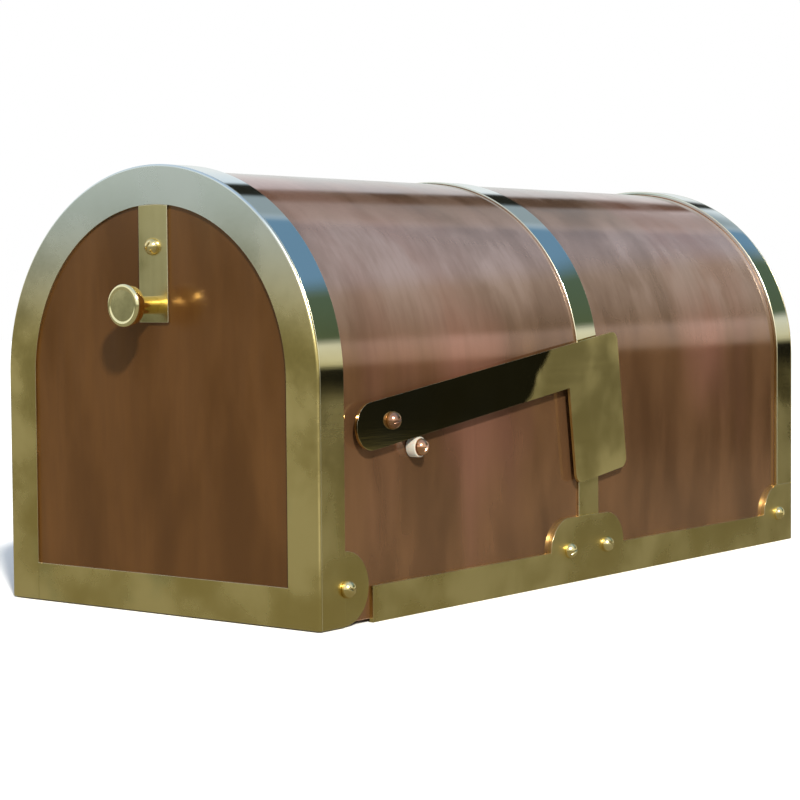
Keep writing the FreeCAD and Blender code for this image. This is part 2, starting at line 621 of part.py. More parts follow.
def make_knob_strap():
    """The strap that hangs from the ring's crown and carries the knob."""
    bar = make_box("strap_bar", ("-half_strap", "half_strap"), ("0", "ring_thickness"),
                   ("strap_bottom", "box_height"))
    window = arch_block("strap_window", "half_width - ring_width", "0", "ring_thickness",
                        "ring_foot + door_lift")
    bores = join("strap_bores", [
        make_rod(name, "bore_radius", "ring_thickness + 2", TOWARDS_REAR, along="-1", up=height)
        for name, height in (("strap_bore_high", "strap_screw_height"),
                             ("strap_bore_low", "knob_height"))])
    finish(cut("strap_drilled", common("strap_trimmed", bar, window), bores), "knob_strap")


def make_knob():
    """The turned knob with its tapered back, drilled for its screw, and the screw's washer."""
    profile = [("0", "0"), ("knob_stem_radius", "0"), ("knob_stem_radius", "knob_cone_back"),
               ("knob_shoulder", "knob_rim_back"), ("knob_radius", "knob_edge", "knob_round", 1),
               ("knob_face_flat", "knob_reach"), ("0", "knob_reach")]
    blank = turned("knob_blank", profile)
    hole = make_rod("knob_hole", "shank_radius", "knob_thread + 1", FreeCAD.Rotation(), up="-1")
    drilled = cut("knob_drilled", blank, hole)
    place_copies("knob", drilled, [(TOWARDS_FRONT, "0", "0", "knob_height")])
    disc = make_rod("washer_disc", "washer_radius", "washer_thickness", FreeCAD.Rotation())
    eye = make_rod("washer_eye", "bore_radius", "washer_thickness + 2", FreeCAD.Rotation(), up="-1")
    place_copies("knob_washer", cut("washer", disc, eye),
                 [(TOWARDS_REAR, "0", "door_back", "knob_height")])
    place_copies("knob_screw", round_screw("knob_fixing", "knob_shank"),
                 [(TOWARDS_REAR, "0", "knob_seat", "knob_height")])


def make_strap_fasteners():
    """The screw that ties the strap, the door panel and the catch tongue together."""
    slanted = turn_slot(TOWARDS_FRONT, 60)
    place_copies("strap_screw", round_screw("strap_fixing", "strap_shank"),
                 [(slanted, "0", "0", "strap_screw_height")])
    place_copies("strap_nut", document.getObject("nut"),
                 [(TOWARDS_REAR, "0", "tongue_front", "strap_screw_height")])


def make_catch_tongue():
    """The bent strip behind the door that slides under the catch leaf."""
    outline = [("door_back", "tongue_bottom"), ("tongue_front", "tongue_bottom"),
               ("tongue_front", "tongue_height"), ("tongue_reach", "tongue_height"),
               ("tongue_reach", "tongue_top"), ("door_back", "tongue_top")]
    strip = cross_strip("tongue_strip", outline, "catch_width")
    hole = make_rod("tongue_hole", "bore_radius", "tongue_front + 2", TOWARDS_REAR,
                    up="strap_screw_height")
    finish(cut("tongue_drilled", strip, hole), "catch_tongue")


# ---- flag ---------------------------------------------------------------------------------------

def make_flag():
    """The flag, drawn with its arm level and its pivot at zero, then tilted to its lowered slope."""
    outline = [("-tail_centre", "-arm_half_width"), ("paddle_start", "-arm_half_width"),
               ("paddle_start", "-paddle_round_low", "paddle_corner", 1),
               ("paddle_round_start", "-paddle_drop"),
               ("paddle_round_end", "-paddle_drop", "paddle_corner", 1),
               ("paddle_end", "-paddle_round_low"),
               ("paddle_end", "paddle_round_high", "paddle_corner", 1),
               ("paddle_round_end", "arm_half_width"),
               ("-tail_centre", "arm_half_width", "arm_half_width", 1),
               ("-flag_tail", "0", "arm_half_width", 1)]
    body = new_body("flag_plate")
    sketch = new_sketch(body, "flag_outline", "YZ_Plane")
    draw_outline(sketch, outline)
    draw_hole(sketch, "bearing_radius", "0", "0")
    pad(body, sketch, "flag_thickness")
    body.Label = "flag"
    body.Placement = FreeCAD.Placement(FreeCAD.Vector(), FreeCAD.Rotation(FreeCAD.Vector(1, 0, 0), 1))
    bind(body, "Placement.Rotation.Angle", "flag_slope * 1 deg")
    move(body, "flag_back", "flag_pivot_back - box_length / 2", "flag_pivot_height - floor_height")
    sub_parts.append(body)


def make_bush(label, radius, length, along, up):
    """A plain bush standing out from the shell's right side."""
    outer = make_rod(label + "_outer", radius, length, TOWARDS_RIGHT, "shell_outside", along, up)
    inner = make_rod(label + "_inner", "bore_radius", f"{length} + 2", TOWARDS_RIGHT,
                     "shell_outside - 1", along, up)
    finish(cut(label + "_work", outer, inner), label)


def make_flag_mounting():
    """The flag's pivot and its stop: a screw, a bush and a nut for each."""
    pivot = ("flag_pivot_back", "flag_pivot_height")
    stop = ("stop_back", "stop_height")
    make_bush("flag_spacer", "spacer_radius", "spacer_length", *pivot)
    make_bush("flag_stop_roller", "roller_radius", "roller_length", *stop)
    for name, shank, seat, place, angle in (("flag_pivot", "flag_shank", "flag_seat", pivot, 15),
                                            ("flag_stop", "stop_shank", "stop_seat", stop, 50)):
        place_copies(name + "_screw", round_screw(name + "_fixing", shank),
                     [(turn_slot(TOWARDS_RIGHT, angle), seat) + place])
        place_copies(name + "_nut", document.getObject("nut"),
                     [(TOWARDS_LEFT, "shell_inside") + place])


# ---- checking and writing -----------------------------------------------------------------------

def check_document():
    """Stops if any object failed to build or any sub-part is not a sound solid."""
    for item in document.Objects:
        if "Invalid" in item.State or "Error" in item.State:
            raise RuntimeError(f"{item.Label} did not build: {item.State}")
    for item in sub_parts:
        if item.Shape.isNull() or not item.Shape.isValid() or not item.Shape.Solids:
            raise RuntimeError(f"{item.Label} is not a sound solid")


def write_parts():
    """Writes each sub-part as parts/LABEL.step and lists its size."""
    os.makedirs("parts", exist_ok=True)
    for item in sub_parts:
        item.Shape.exportStep(f"parts/{item.Label}.step")
        bounds = item.Shape.BoundBox
        print(f"{item.Label:18s} solids {len(item.Shape.Solids)}  volume {item.Shape.Volume:9.0f}  "
              f"x {bounds.XMin:7.1f} {bounds.XMax:7.1f}  y {bounds.YMin:7.1f} {bounds.YMax:7.1f}  "
              f"z {bounds.ZMin:6.1f} {bounds.ZMax:6.1f}")


def main():
    """Builds every sub-part in order, checks them and writes them."""
    fill_sheet()
    make_shell()
    make_floor()
    make_rear_end()
    make_middle_band()
    make_rails()
    make_rail_fasteners()
    make_hinge_fasteners()
    make_catch_leaf()
    make_door()
    make_knob_strap()
    make_knob()
    make_strap_fasteners()
    make_catch_tongue()
    make_flag()
    make_flag_mounting()
    document.recompute()
    check_document()
    write_parts()


main()
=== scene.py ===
"""An arched copper mailbox trimmed in brass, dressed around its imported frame.

Metres, +Z up. The door faces -Y and the flag is on the +X side. Every piece takes its place from the
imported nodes: the sheets are bent, filed and drilled here again at the same sizes, with the rounded
edges, the solder seams and the tarnish that the plain frame has not got.
"""

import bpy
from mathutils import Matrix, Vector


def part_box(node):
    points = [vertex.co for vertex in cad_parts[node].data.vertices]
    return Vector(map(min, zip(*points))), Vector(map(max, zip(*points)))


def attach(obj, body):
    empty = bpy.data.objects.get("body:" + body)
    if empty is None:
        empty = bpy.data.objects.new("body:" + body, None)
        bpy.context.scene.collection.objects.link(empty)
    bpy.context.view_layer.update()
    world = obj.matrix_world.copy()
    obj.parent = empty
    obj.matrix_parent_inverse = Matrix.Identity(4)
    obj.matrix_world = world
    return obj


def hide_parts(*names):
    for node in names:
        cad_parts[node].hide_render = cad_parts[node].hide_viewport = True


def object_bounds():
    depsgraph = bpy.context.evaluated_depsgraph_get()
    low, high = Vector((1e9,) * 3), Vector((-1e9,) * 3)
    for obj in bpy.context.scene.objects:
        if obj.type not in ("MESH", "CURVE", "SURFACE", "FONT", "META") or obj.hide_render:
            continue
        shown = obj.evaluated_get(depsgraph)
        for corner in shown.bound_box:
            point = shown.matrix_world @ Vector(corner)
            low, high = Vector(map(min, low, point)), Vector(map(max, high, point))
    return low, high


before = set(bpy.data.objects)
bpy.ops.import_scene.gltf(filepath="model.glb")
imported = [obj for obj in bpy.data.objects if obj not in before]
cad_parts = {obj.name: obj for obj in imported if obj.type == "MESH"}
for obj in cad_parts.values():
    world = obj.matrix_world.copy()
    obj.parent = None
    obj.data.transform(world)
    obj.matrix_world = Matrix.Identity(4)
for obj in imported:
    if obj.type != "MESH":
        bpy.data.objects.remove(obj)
FRAME_BOX = [list(corner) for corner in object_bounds()]

import logging
import math
from collections.abc import Callable, Sequence
from dataclasses import dataclass, field
from enum import Enum

import bmesh
import bpy
from mathutils import Matrix, Vector

log = logging.getLogger("mailbox")

Colour = tuple[float, float, float, float]
Pair = tuple[float, float]
Triple = tuple[float, float, float]

TOUCHING = 1e-7                     # corners of a mesh nearer than this are one
JOINED = 1e-6                       # the same in the geometry trees
FILED_ANGLE = 0.8                   # an edge that is sharper is one that may be filed round
FILED_STEPS = 6
CREASE = math.radians(40)           # a turned piece keeps a line where it bends by more
THROUGH = 0.2                       # a cutter reaches this far either side of the box
MARGIN = 0.01                       # and this far past the edges of what it cuts
ON_FACE = 1e-5                      # depth within which a corner lies on a sheet's face


# ---- names --------------------------------------------------------------------------------------

class Body(Enum):
    """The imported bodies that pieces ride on."""

    BOX = "box"
    DOOR = "door"
    FLAG = "flag"


class Plane(Enum):
    """The plane an outline is drawn in; the sheet's thickness lies across it."""

    SIDE = "side"      # along and up, thickness across the box
    END = "end"        # across and up, thickness along the box

    def point(self, pair: Pair, depth: float) -> Vector:
        """Turns a point of the outline into a point of the box.

        Args:
            pair: the point in the outline.
            depth: how far it lies across the sheet.

        Returns:
            The point in the box's frame.
        """
        if self is Plane.SIDE:
            return Vector((depth, pair[0], pair[1]))
        return Vector((pair[0], depth, pair[1]))


class Facing(Enum):
    """The way a screw's head, a nut or a turned piece points."""

    RIGHT = (1, 0, 0)
    LEFT = (-1, 0, 0)
    FRONT = (0, -1, 0)
    REAR = (0, 1, 0)


class Edge(Enum):
    """How far the sharp edges of a piece are broken."""

    FINE = 0.00015
    PANEL = 0.0002
    STRAP = 0.00025
    BENT = 0.0003
    RAIL = 0.00035
    RIM = 0.0004
    FLAG = 0.0005


Place = tuple[Facing, Triple, float]


# ---- trees of nodes -----------------------------------------------------------------------------

class Wiring:
    """Adds nodes to a tree and joins their sockets."""

    def __init__(self, tree: bpy.types.NodeTree) -> None:
        """Keeps the tree that is being wired."""
        self.tree = tree

    def add(self, kind: str, inputs: dict | None = None, **settings: object) -> bpy.types.Node:
        """Adds one node.

        Args:
            kind: the node's type name.
            inputs: what goes into its sockets, by name or number; a socket is linked, a value is set.
            settings: the node's own properties.

        Returns:
            The new node.
        """
        node = self.tree.nodes.new(kind)
        for name, value in settings.items():
            setattr(node, name, value)
        for key, value in (inputs or {}).items():
            self.feed(value, node.inputs[key])
        return node

    def feed(self, value: object, socket: bpy.types.NodeSocket) -> None:
        """Links a socket to another, or sets its value.

        Args:
            value: the other socket, or a plain value.
            socket: the socket that takes it.
        """
        if isinstance(value, bpy.types.NodeSocket):
            self.tree.links.new(value, socket)
        else:
            socket.default_value = value

    def group(self, tree: bpy.types.NodeTree, inputs: dict) -> bpy.types.Node:
        """Places a shared shader group with values of its own."""
        return self.add("ShaderNodeGroup", inputs, node_tree=tree)

    def calc(self, operation: str, *terms: object) -> bpy.types.NodeSocket:
        """The result of one sum on numbers."""
        return self.add("ShaderNodeMath", dict(enumerate(terms)), operation=operation).outputs[0]

    def vector(self, operation: str, *terms: object) -> bpy.types.NodeSocket:
        """The result of one sum on vectors."""
        return self.add("ShaderNodeVectorMath", dict(enumerate(terms)), operation=operation).outputs[0]

    def combine(self, x: object = 0.0, y: object = 0.0, z: object = 0.0) -> bpy.types.NodeSocket:
        """A vector from three numbers."""
        return self.add("ShaderNodeCombineXYZ", {0: x, 1: y, 2: z}).outputs[0]

    def spread(self, value: object, low: float, high: float, to_low: object = 0.0,
               to_high: object = 1.0) -> bpy.types.NodeSocket:
        """A value eased from one range into another and held at its ends.

        Args:
            value: what is eased.
            low: start of the first range, which may be above its end.
            high: end of the first range.
            to_low: what the start becomes.
            to_high: what the end becomes.

        Returns:
            The eased value.
        """
        node = self.add("ShaderNodeMapRange", {"Value": value, "From Min": low, "From Max": high,
                                               "To Min": to_low, "To Max": to_high},
                        interpolation_type="SMOOTHSTEP")
        return node.outputs["Result"]

    def blend(self, share: object, first: object, second: object) -> bpy.types.NodeSocket:
        """A colour between two.

        Args:
            share: 0 gives the first colour and 1 the second.
            first: the first colour.
            second: the second colour.

        Returns:
            The blended colour.
        """
        node = self.add("ShaderNodeMix", data_type="RGBA")
        for value, key in ((share, "Factor_Float"), (first, "A_Color"), (second, "B_Color")):
            self.feed(value, next(s for s in node.inputs if s.identifier == key))
        return next(s for s in node.outputs if s.identifier == "Result_Color")


def new_group(name: str, kind: str, takes: Sequence[tuple], gives: Sequence[tuple]
              ) -> tuple[bpy.types.NodeTree, Wiring, dict[str, bpy.types.NodeSocket], bpy.types.Node]:
    """Starts a node group with named sockets.

    Args:
        name: the group's name.
        kind: its tree type.
        takes: (name, socket type, default value) of each input; a default of None leaves it alone.
        gives: (name, socket type) of each output.

    Returns:
        The tree, its wiring, its inputs by name and its output node.
    """
    tree = bpy.data.node_groups.new(name, kind)
    for label, socket, default in takes:
        item = tree.interface.new_socket(label, in_out="INPUT", socket_type=socket)
        if default is not None:
            item.default_value = default
    for label, socket in gives:
        tree.interface.new_socket(label, in_out="OUTPUT", socket_type=socket)
    wiring = Wiring(tree)
    entry = wiring.add("NodeGroupInput")
    return tree, wiring, {label: entry.outputs[label] for label, _, _ in takes}, \
        wiring.add("NodeGroupOutput")


# ---- geometry trees -----------------------------------------------------------------------------

GEOMETRY = "NodeSocketGeometry"
FLOAT = "NodeSocketFloat"
WHOLE = "NodeSocketInt"


class GrowingTree:
    """A geometry tree that makes a mesh from named sizes."""

    name = "Growing"
    sizes: tuple[tuple[str, str, object], ...] = ()

    def __init__(self) -> None:
        """Builds the tree once."""
        takes = [("Geometry", GEOMETRY, None), *self.sizes, ("Finish", "NodeSocketMaterial", None)]
        self.tree, wiring, inputs, exit_node = new_group(self.name, "GeometryNodeTree", takes,
                                                         [("Geometry", GEOMETRY)])
        shape = self.shape(wiring, inputs)
        realised = wiring.add("GeometryNodeRealizeInstances", {"Geometry": shape})
        smooth = wiring.add("GeometryNodeSetShadeSmooth", {"Geometry": realised.outputs[0]})
        dressed = wiring.add("GeometryNodeSetMaterial",
                             {"Geometry": smooth.outputs[0], "Material": inputs["Finish"]})
        wiring.feed(dressed.outputs[0], exit_node.inputs[0])

    def shape(self, wiring: Wiring, inputs: dict[str, bpy.types.NodeSocket]) -> bpy.types.NodeSocket:
        """Wires the shape itself.

        Args:
            wiring: adds nodes to the tree.
            inputs: the tree's inputs by name.

        Returns:
            The shape's geometry.
        """
        raise NotImplementedError

    def grow(self, source: bpy.types.Mesh, finish: bpy.types.Material, **sizes: object
             ) -> bpy.types.Mesh:
        """Runs the tree and keeps its result as a plain mesh.

        Args:
            source: the mesh the tree starts from, such as points to place copies on.
            finish: the material set on the result.
            sizes: the tree's inputs, with underscores for spaces.

        Returns:
            The finished mesh.
        """
        carrier = bpy.data.objects.new(self.name + "_carrier", source)
        bpy.context.scene.collection.objects.link(carrier)
        modifier = carrier.modifiers.new(self.name, "NODES")
        modifier.node_group = self.tree
        wanted = {key.replace("_", " "): value for key, value in sizes.items()} | {"Finish": finish}
        for item in self.tree.interface.items_tree:
            if item.in_out == "INPUT" and item.name in wanted:
                modifier[item.identifier] = wanted[item.name]
        mesh = plain_mesh(carrier)
        carrier.modifiers.clear()
        bpy.data.objects.remove(carrier)
        return mesh


class BentStrip(GrowingTree):
    """A strip bent over the arch: up one side, round the crown and down the other."""

    name = "Bent strip"
    sizes = (("Radius", FLOAT, 0.1), ("Centre", FLOAT, 0.1), ("Foot", FLOAT, 0.0),
             ("Front", FLOAT, 0.0), ("Back", FLOAT, 0.1), ("Crown Steps", WHOLE, 96))

    def shape(self, wiring: Wiring, inputs: dict[str, bpy.types.NodeSocket]) -> bpy.types.NodeSocket:
        """Draws the bend as edges at the front and pulls them to the back.

        Args:
            wiring: adds nodes to the tree.
            inputs: the tree's inputs by name.

        Returns:
            The bent strip, without a thickness.
        """
        radius, centre, foot, front = (inputs[k] for k in ("Radius", "Centre", "Foot", "Front"))
        left = wiring.calc("MULTIPLY", radius, -1.0)
        arc = wiring.add("GeometryNodeCurveArc",
                         {"Resolution": inputs["Crown Steps"], "Radius": radius,
                          "Start Angle": 0.0, "Sweep Angle": math.pi}, mode="RADIUS")
        stood = wiring.add("GeometryNodeTransform",
                           {"Geometry": arc.outputs[0], "Rotation": (math.pi / 2, 0.0, 0.0),
                            "Translation": wiring.combine(0.0, front, centre)})
        runs = [stood.outputs[0]]
        for ends in (((radius, foot), (radius, centre)), ((left, centre), (left, foot))):
            start, stop = (wiring.combine(across, front, up) for across, up in ends)
            runs.append(wiring.add("GeometryNodeCurvePrimitiveLine",
                                   {"Start": start, "End": stop}).outputs[0])
        joined = wiring.add("GeometryNodeJoinGeometry")
        for run in runs:
            edges = wiring.add("GeometryNodeCurveToMesh", {"Curve": run})
            wiring.feed(edges.outputs[0], joined.inputs[0])
        merged = wiring.add("GeometryNodeMergeByDistance",
                            {"Geometry": joined.outputs[0], "Distance": JOINED})
        length = wiring.calc("SUBTRACT", inputs["Back"], front)
        pulled = wiring.add("GeometryNodeExtrudeMesh",
                            {"Mesh": merged.outputs[0], "Offset": wiring.combine(0.0, 1.0, 0.0),
                             "Offset Scale": length}, mode="EDGES")
        return pulled.outputs["Mesh"]


def placed_copies(wiring: Wiring, points: bpy.types.NodeSocket, copy: bpy.types.NodeSocket
                  ) -> bpy.types.NodeSocket:
    """Copies of one shape on points, turned by the points' own 'facing' angles.

    Args:
        wiring: adds nodes to the tree.
        points: the points.
        copy: the shape.

    Returns:
        The instances.
    """
    facing = wiring.add("GeometryNodeInputNamedAttribute", {"Name": "facing"},
                        data_type="FLOAT_VECTOR")
    turned = wiring.add("FunctionNodeEulerToRotation", {0: facing.outputs["Attribute"]})
    return wiring.add("GeometryNodeInstanceOnPoints",
                      {"Points": points, "Instance": copy,
                       "Rotation": turned.outputs[0]}).outputs[0]


class SlottedScrews(GrowingTree):
    """Round-head screws with a sawn slot, one on each point; the head stands on the point."""

    name = "Slotted screws"
    sizes = (("Head Radius", FLOAT, 0.0045), ("Head Height", FLOAT, 0.0043),
             ("Slot Width", FLOAT, 0.0011), ("Slot Depth", FLOAT, 0.0012),
             ("Shank Radius", FLOAT, 0.0024), ("Shank Length", FLOAT, 0.009), ("Steps", WHOLE, 40))
    block = 0.04            # side of the cube that keeps the ball's cap
    saw_length = 0.03
    shank_sides = 24

    def shape(self, wiring: Wiring, inputs: dict[str, bpy.types.NodeSocket]) -> bpy.types.NodeSocket:
        """A cap of a ball with the slot cut away, and the shank below it.

        Args:
            wiring: adds nodes to the tree.
            inputs: the tree's inputs by name.

        Returns:
            The screws on their points.
        """
        head, height = inputs["Head Radius"], inputs["Head Height"]
        squares = wiring.calc("ADD", wiring.calc("MULTIPLY", head, head),
                              wiring.calc("MULTIPLY", height, height))
        ball = wiring.calc("DIVIDE", squares, wiring.calc("MULTIPLY", height, 2.0))
        sphere = wiring.add("GeometryNodeMeshUVSphere",
                            {"Segments": inputs["Steps"], "Rings": inputs["Steps"], "Radius": ball})
        lowered = wiring.add("GeometryNodeTransform",
                             {"Geometry": sphere.outputs["Mesh"],
                              "Translation": wiring.combine(0.0, 0.0,
                                                            wiring.calc("SUBTRACT", height, ball))})
        above = wiring.add("GeometryNodeMeshCube", {"Size": (self.block,) * 3})
        raised = wiring.add("GeometryNodeTransform", {"Geometry": above.outputs["Mesh"],
                                                      "Translation": (0.0, 0.0, self.block / 2)})
        cap = wiring.add("GeometryNodeMeshBoolean", operation="INTERSECT", solver="EXACT")
        for part in (lowered, raised):
            wiring.feed(part.outputs[0], cap.inputs["Mesh 2"])
        saw = wiring.add("GeometryNodeMeshCube",
                         {"Size": wiring.combine(self.saw_length, inputs["Slot Width"],
                                                 wiring.calc("MULTIPLY", inputs["Slot Depth"], 2.0))})
        sawn = wiring.add("GeometryNodeTransform",
                          {"Geometry": saw.outputs["Mesh"],
                           "Translation": wiring.combine(0.0, 0.0, height)})
        slotted = wiring.add("GeometryNodeMeshBoolean",
                             {"Mesh 1": cap.outputs[0], "Mesh 2": sawn.outputs[0]},
                             operation="DIFFERENCE", solver="EXACT")
        length = inputs["Shank Length"]
        rod = wiring.add("GeometryNodeMeshCylinder",
                         {"Vertices": self.shank_sides, "Radius": inputs["Shank Radius"],
                          "Depth": length})
        hung = wiring.add("GeometryNodeTransform",
                          {"Geometry": rod.outputs["Mesh"],
                           "Translation": wiring.combine(0.0, 0.0,
                                                         wiring.calc("MULTIPLY", length, -0.5))})
        whole = wiring.add("GeometryNodeJoinGeometry")
        for part in (slotted, hung):
            wiring.feed(part.outputs[0], whole.inputs[0])
        return placed_copies(wiring, inputs["Geometry"], whole.outputs[0])


class HexagonNuts(GrowingTree):
    """Nuts with their corners turned off and a bore, one on each point."""

    name = "Hexagon nuts"
    sizes = (("Corners", FLOAT, 0.0092), ("Height", FLOAT, 0.0036), ("Bore Radius", FLOAT, 0.0024))
    ball_share = 0.52       # radius of the ball that trims the corners, to the nut's width
    ball_steps = 36
    drill_sides = 24
    drill_length = 0.02

    def shape(self, wiring: Wiring, inputs: dict[str, bpy.types.NodeSocket]) -> bpy.types.NodeSocket:
        """A six-sided block inside a ball, less the bore.

        Args:
            wiring: adds nodes to the tree.
            inputs: the tree's inputs by name.

        Returns:
            The nuts on their points.
        """
        height = inputs["Height"]
        middle = wiring.combine(0.0, 0.0, wiring.calc("MULTIPLY", height, 0.5))
        block = wiring.add("GeometryNodeMeshCylinder",
                           {"Vertices": 6, "Depth": height,
                            "Radius": wiring.calc("MULTIPLY", inputs["Corners"], 0.5)})
        ball = wiring.add("GeometryNodeMeshUVSphere",
                          {"Segments": self.ball_steps, "Rings": self.ball_steps,
                           "Radius": wiring.calc("MULTIPLY", inputs["Corners"], self.ball_share)})
        trimmed = wiring.add("GeometryNodeMeshBoolean", operation="INTERSECT", solver="EXACT")
        for part in (block, ball):
            wiring.feed(part.outputs["Mesh"], trimmed.inputs["Mesh 2"])
        drill = wiring.add("GeometryNodeMeshCylinder",
                           {"Vertices": self.drill_sides, "Depth": self.drill_length,
                            "Radius": inputs["Bore Radius"]})
        bored = wiring.add("GeometryNodeMeshBoolean",
                           {"Mesh 1": trimmed.outputs[0], "Mesh 2": drill.outputs["Mesh"]},
                           operation="DIFFERENCE", solver="EXACT")
        seated = wiring.add("GeometryNodeTransform",
                            {"Geometry": bored.outputs[0], "Translation": middle})
        return placed_copies(wiring, inputs["Geometry"], seated.outputs[0])


class TurnedPieces(GrowingTree):
    """A profile of (radius, height) spun round its axis, one on each point."""

    name = "Turned pieces"
    sizes = (("Profile", "NodeSocketObject", None), ("Steps", WHOLE, 64))

    def shape(self, wiring: Wiring, inputs: dict[str, bpy.types.NodeSocket]) -> bpy.types.NodeSocket:
        """Lays the profile's points out in a grid, bends it round and closes the seam.

        Args:
            wiring: adds nodes to the tree.
            inputs: the tree's inputs by name.

        Returns:
            The turned pieces on their points.
        """
        profile = wiring.add("GeometryNodeObjectInfo", {"Object": inputs["Profile"]},
                             transform_space="ORIGINAL").outputs["Geometry"]
        count = wiring.add("GeometryNodeAttributeDomainSize", {"Geometry": profile},
                           component="MESH").outputs["Point Count"]
        around = wiring.calc("ADD", inputs["Steps"], 1.0)
        grid = wiring.add("GeometryNodeMeshGrid", {"Vertices X": around, "Vertices Y": count})
        index = wiring.add("GeometryNodeInputIndex").outputs[0]
        column = wiring.calc("FLOOR", wiring.calc("DIVIDE", wiring.calc("ADD", index, 0.5), count))
        row = wiring.calc("SUBTRACT", index, wiring.calc("MULTIPLY", column, count))
        position = wiring.add("GeometryNodeInputPosition").outputs[0]
        sample = wiring.add("GeometryNodeSampleIndex",
                            {"Geometry": profile, "Value": position, "Index": row},
                            data_type="FLOAT_VECTOR", domain="POINT")
        point = wiring.add("ShaderNodeSeparateXYZ", {0: sample.outputs[0]})
        angle = wiring.calc("DIVIDE", wiring.calc("MULTIPLY", column, 2 * math.pi), inputs["Steps"])
        bent = wiring.combine(wiring.calc("MULTIPLY", point.outputs[0], wiring.calc("COSINE", angle)),
                              wiring.calc("MULTIPLY", point.outputs[0], wiring.calc("SINE", angle)),
                              point.outputs[2])
        spun = wiring.add("GeometryNodeSetPosition",
                          {"Geometry": grid.outputs["Mesh"], "Position": bent})
        closed = wiring.add("GeometryNodeMergeByDistance",
                            {"Geometry": spun.outputs[0], "Distance": JOINED})
        return placed_copies(wiring, inputs["Geometry"], closed.outputs[0])


# ---- meshes -------------------------------------------------------------------------------------

def plain_mesh(thing: bpy.types.Object) -> bpy.types.Mesh:
    """The object's mesh with its modifiers worked in.

    Args:
        thing: the object, which keeps its modifiers.

    Returns:
        A mesh of its own.
    """
    graph = bpy.context.evaluated_depsgraph_get()
    return bpy.data.meshes.new_from_object(thing.evaluated_get(graph), preserve_all_data_layers=True,
                                           depsgraph=graph)


def point_outwards(mesh: bpy.types.Mesh) -> None:
    """Merges doubles and turns every face of a closed mesh outwards.

    Args:
        mesh: the mesh, changed in place.
    """
    work = bmesh.new()
    work.from_mesh(mesh)
    bmesh.ops.remove_doubles(work, verts=work.verts, dist=TOUCHING)
    bmesh.ops.recalc_face_normals(work, faces=work.faces)
    work.to_mesh(mesh)
    work.free()


class Outline:
    """A closed outline of straight runs and arcs."""

    def __init__(self) -> None:
        """Starts with no points."""
        self.points: list[Pair] = []

    def to(self, *pairs: Pair) -> "Outline":
        """Adds corners."""
        self.points.extend(pairs)
        return self

    def arc(self, centre: Pair, radius: float, start: float, stop: float, steps: int = 12) -> "Outline":
        """Adds an arc.

        Args:
            centre: its centre.
            radius: its radius.
            start: its first angle in degrees, anticlockwise from the outline's first axis.
            stop: its last angle.
            steps: the number of runs it is drawn with.

        Returns:
            The outline itself.
        """
        for step in range(steps + 1):
            angle = math.radians(start + (stop - start) * step / steps)
            self.points.append((centre[0] + radius * math.cos(angle),
                                centre[1] + radius * math.sin(angle)))
        return self

    def turned(self, pivot: Pair, degrees: float) -> "Outline":
        """Turns the outline about its zero and moves it to a pivot.

        Args:
            pivot: where its zero goes.
            degrees: how far it turns, anticlockwise.

        Returns:
            The outline itself.
        """
        cosine, sine = math.cos(math.radians(degrees)), math.sin(math.radians(degrees))
        self.points = [(pivot[0] + u * cosine - v * sine, pivot[1] + u * sine + v * cosine)
                       for u, v in self.points]
        return self


def arch_outline(radius: float, centre: float, foot: float, steps: int = 96) -> Outline:
    """Straight sides and a half-round crown."""
    return Outline().to((-radius, foot), (radius, foot)).arc((0.0, centre), radius, 0, 180, steps)


def sheet_mesh(name: str, outlines: Sequence[Outline], plane: Plane, near: float, far: float
               ) -> bpy.types.Mesh:
    """A flat sheet from its outline and the outlines of its windows.

    Args:
        name: the mesh's name.
        outlines: the outer outline first, then any windows.
        plane: the plane they are drawn in.
        near: depth of one face.
        far: depth of the other face.

    Returns:
        A closed mesh with its faces outwards.
    """
    work = bmesh.new()
    edges = []
    for outline in outlines:
        corners = [work.verts.new(plane.point(pair, near)) for pair in outline.points]
        edges += [work.edges.new((corners[i - 1], corners[i])) for i in range(len(corners))]
    bmesh.ops.triangle_fill(work, use_beauty=True, use_dissolve=False, edges=edges)
    pulled = bmesh.ops.extrude_face_region(work, geom=list(work.faces), use_keep_orig=True)
    shift = plane.point((0.0, 0.0), far - near)
    bmesh.ops.translate(work, vec=shift,
                        verts=[item for item in pulled["geom"] if isinstance(item, bmesh.types.BMVert)])
    bmesh.ops.remove_doubles(work, verts=work.verts, dist=TOUCHING)
    bmesh.ops.recalc_face_normals(work, faces=work.faces)
    mesh = bpy.data.meshes.new(name)
    work.to_mesh(mesh)
    work.free()
    return mesh


def file_edges(mesh: bpy.types.Mesh, wanted: Callable[[Vector, Vector], bool], width: float) -> None:
    """Rounds chosen edges of a mesh.

    Args:
        mesh: the mesh, changed in place.
        wanted: says from an edge's two ends whether it is rounded.
        width: how far the rounding reaches.
    """
    work = bmesh.new()
    work.from_mesh(mesh)
    chosen = [edge for edge in work.edges if edge.calc_face_angle(0.0) > FILED_ANGLE
              and wanted(edge.verts[0].co, edge.verts[1].co)]
    bmesh.ops.bevel(work, geom=chosen, offset=width, segments=FILED_STEPS, profile=0.5,
                    affect="EDGES", clamp_overlap=True)
    work.to_mesh(mesh)
    work.free()


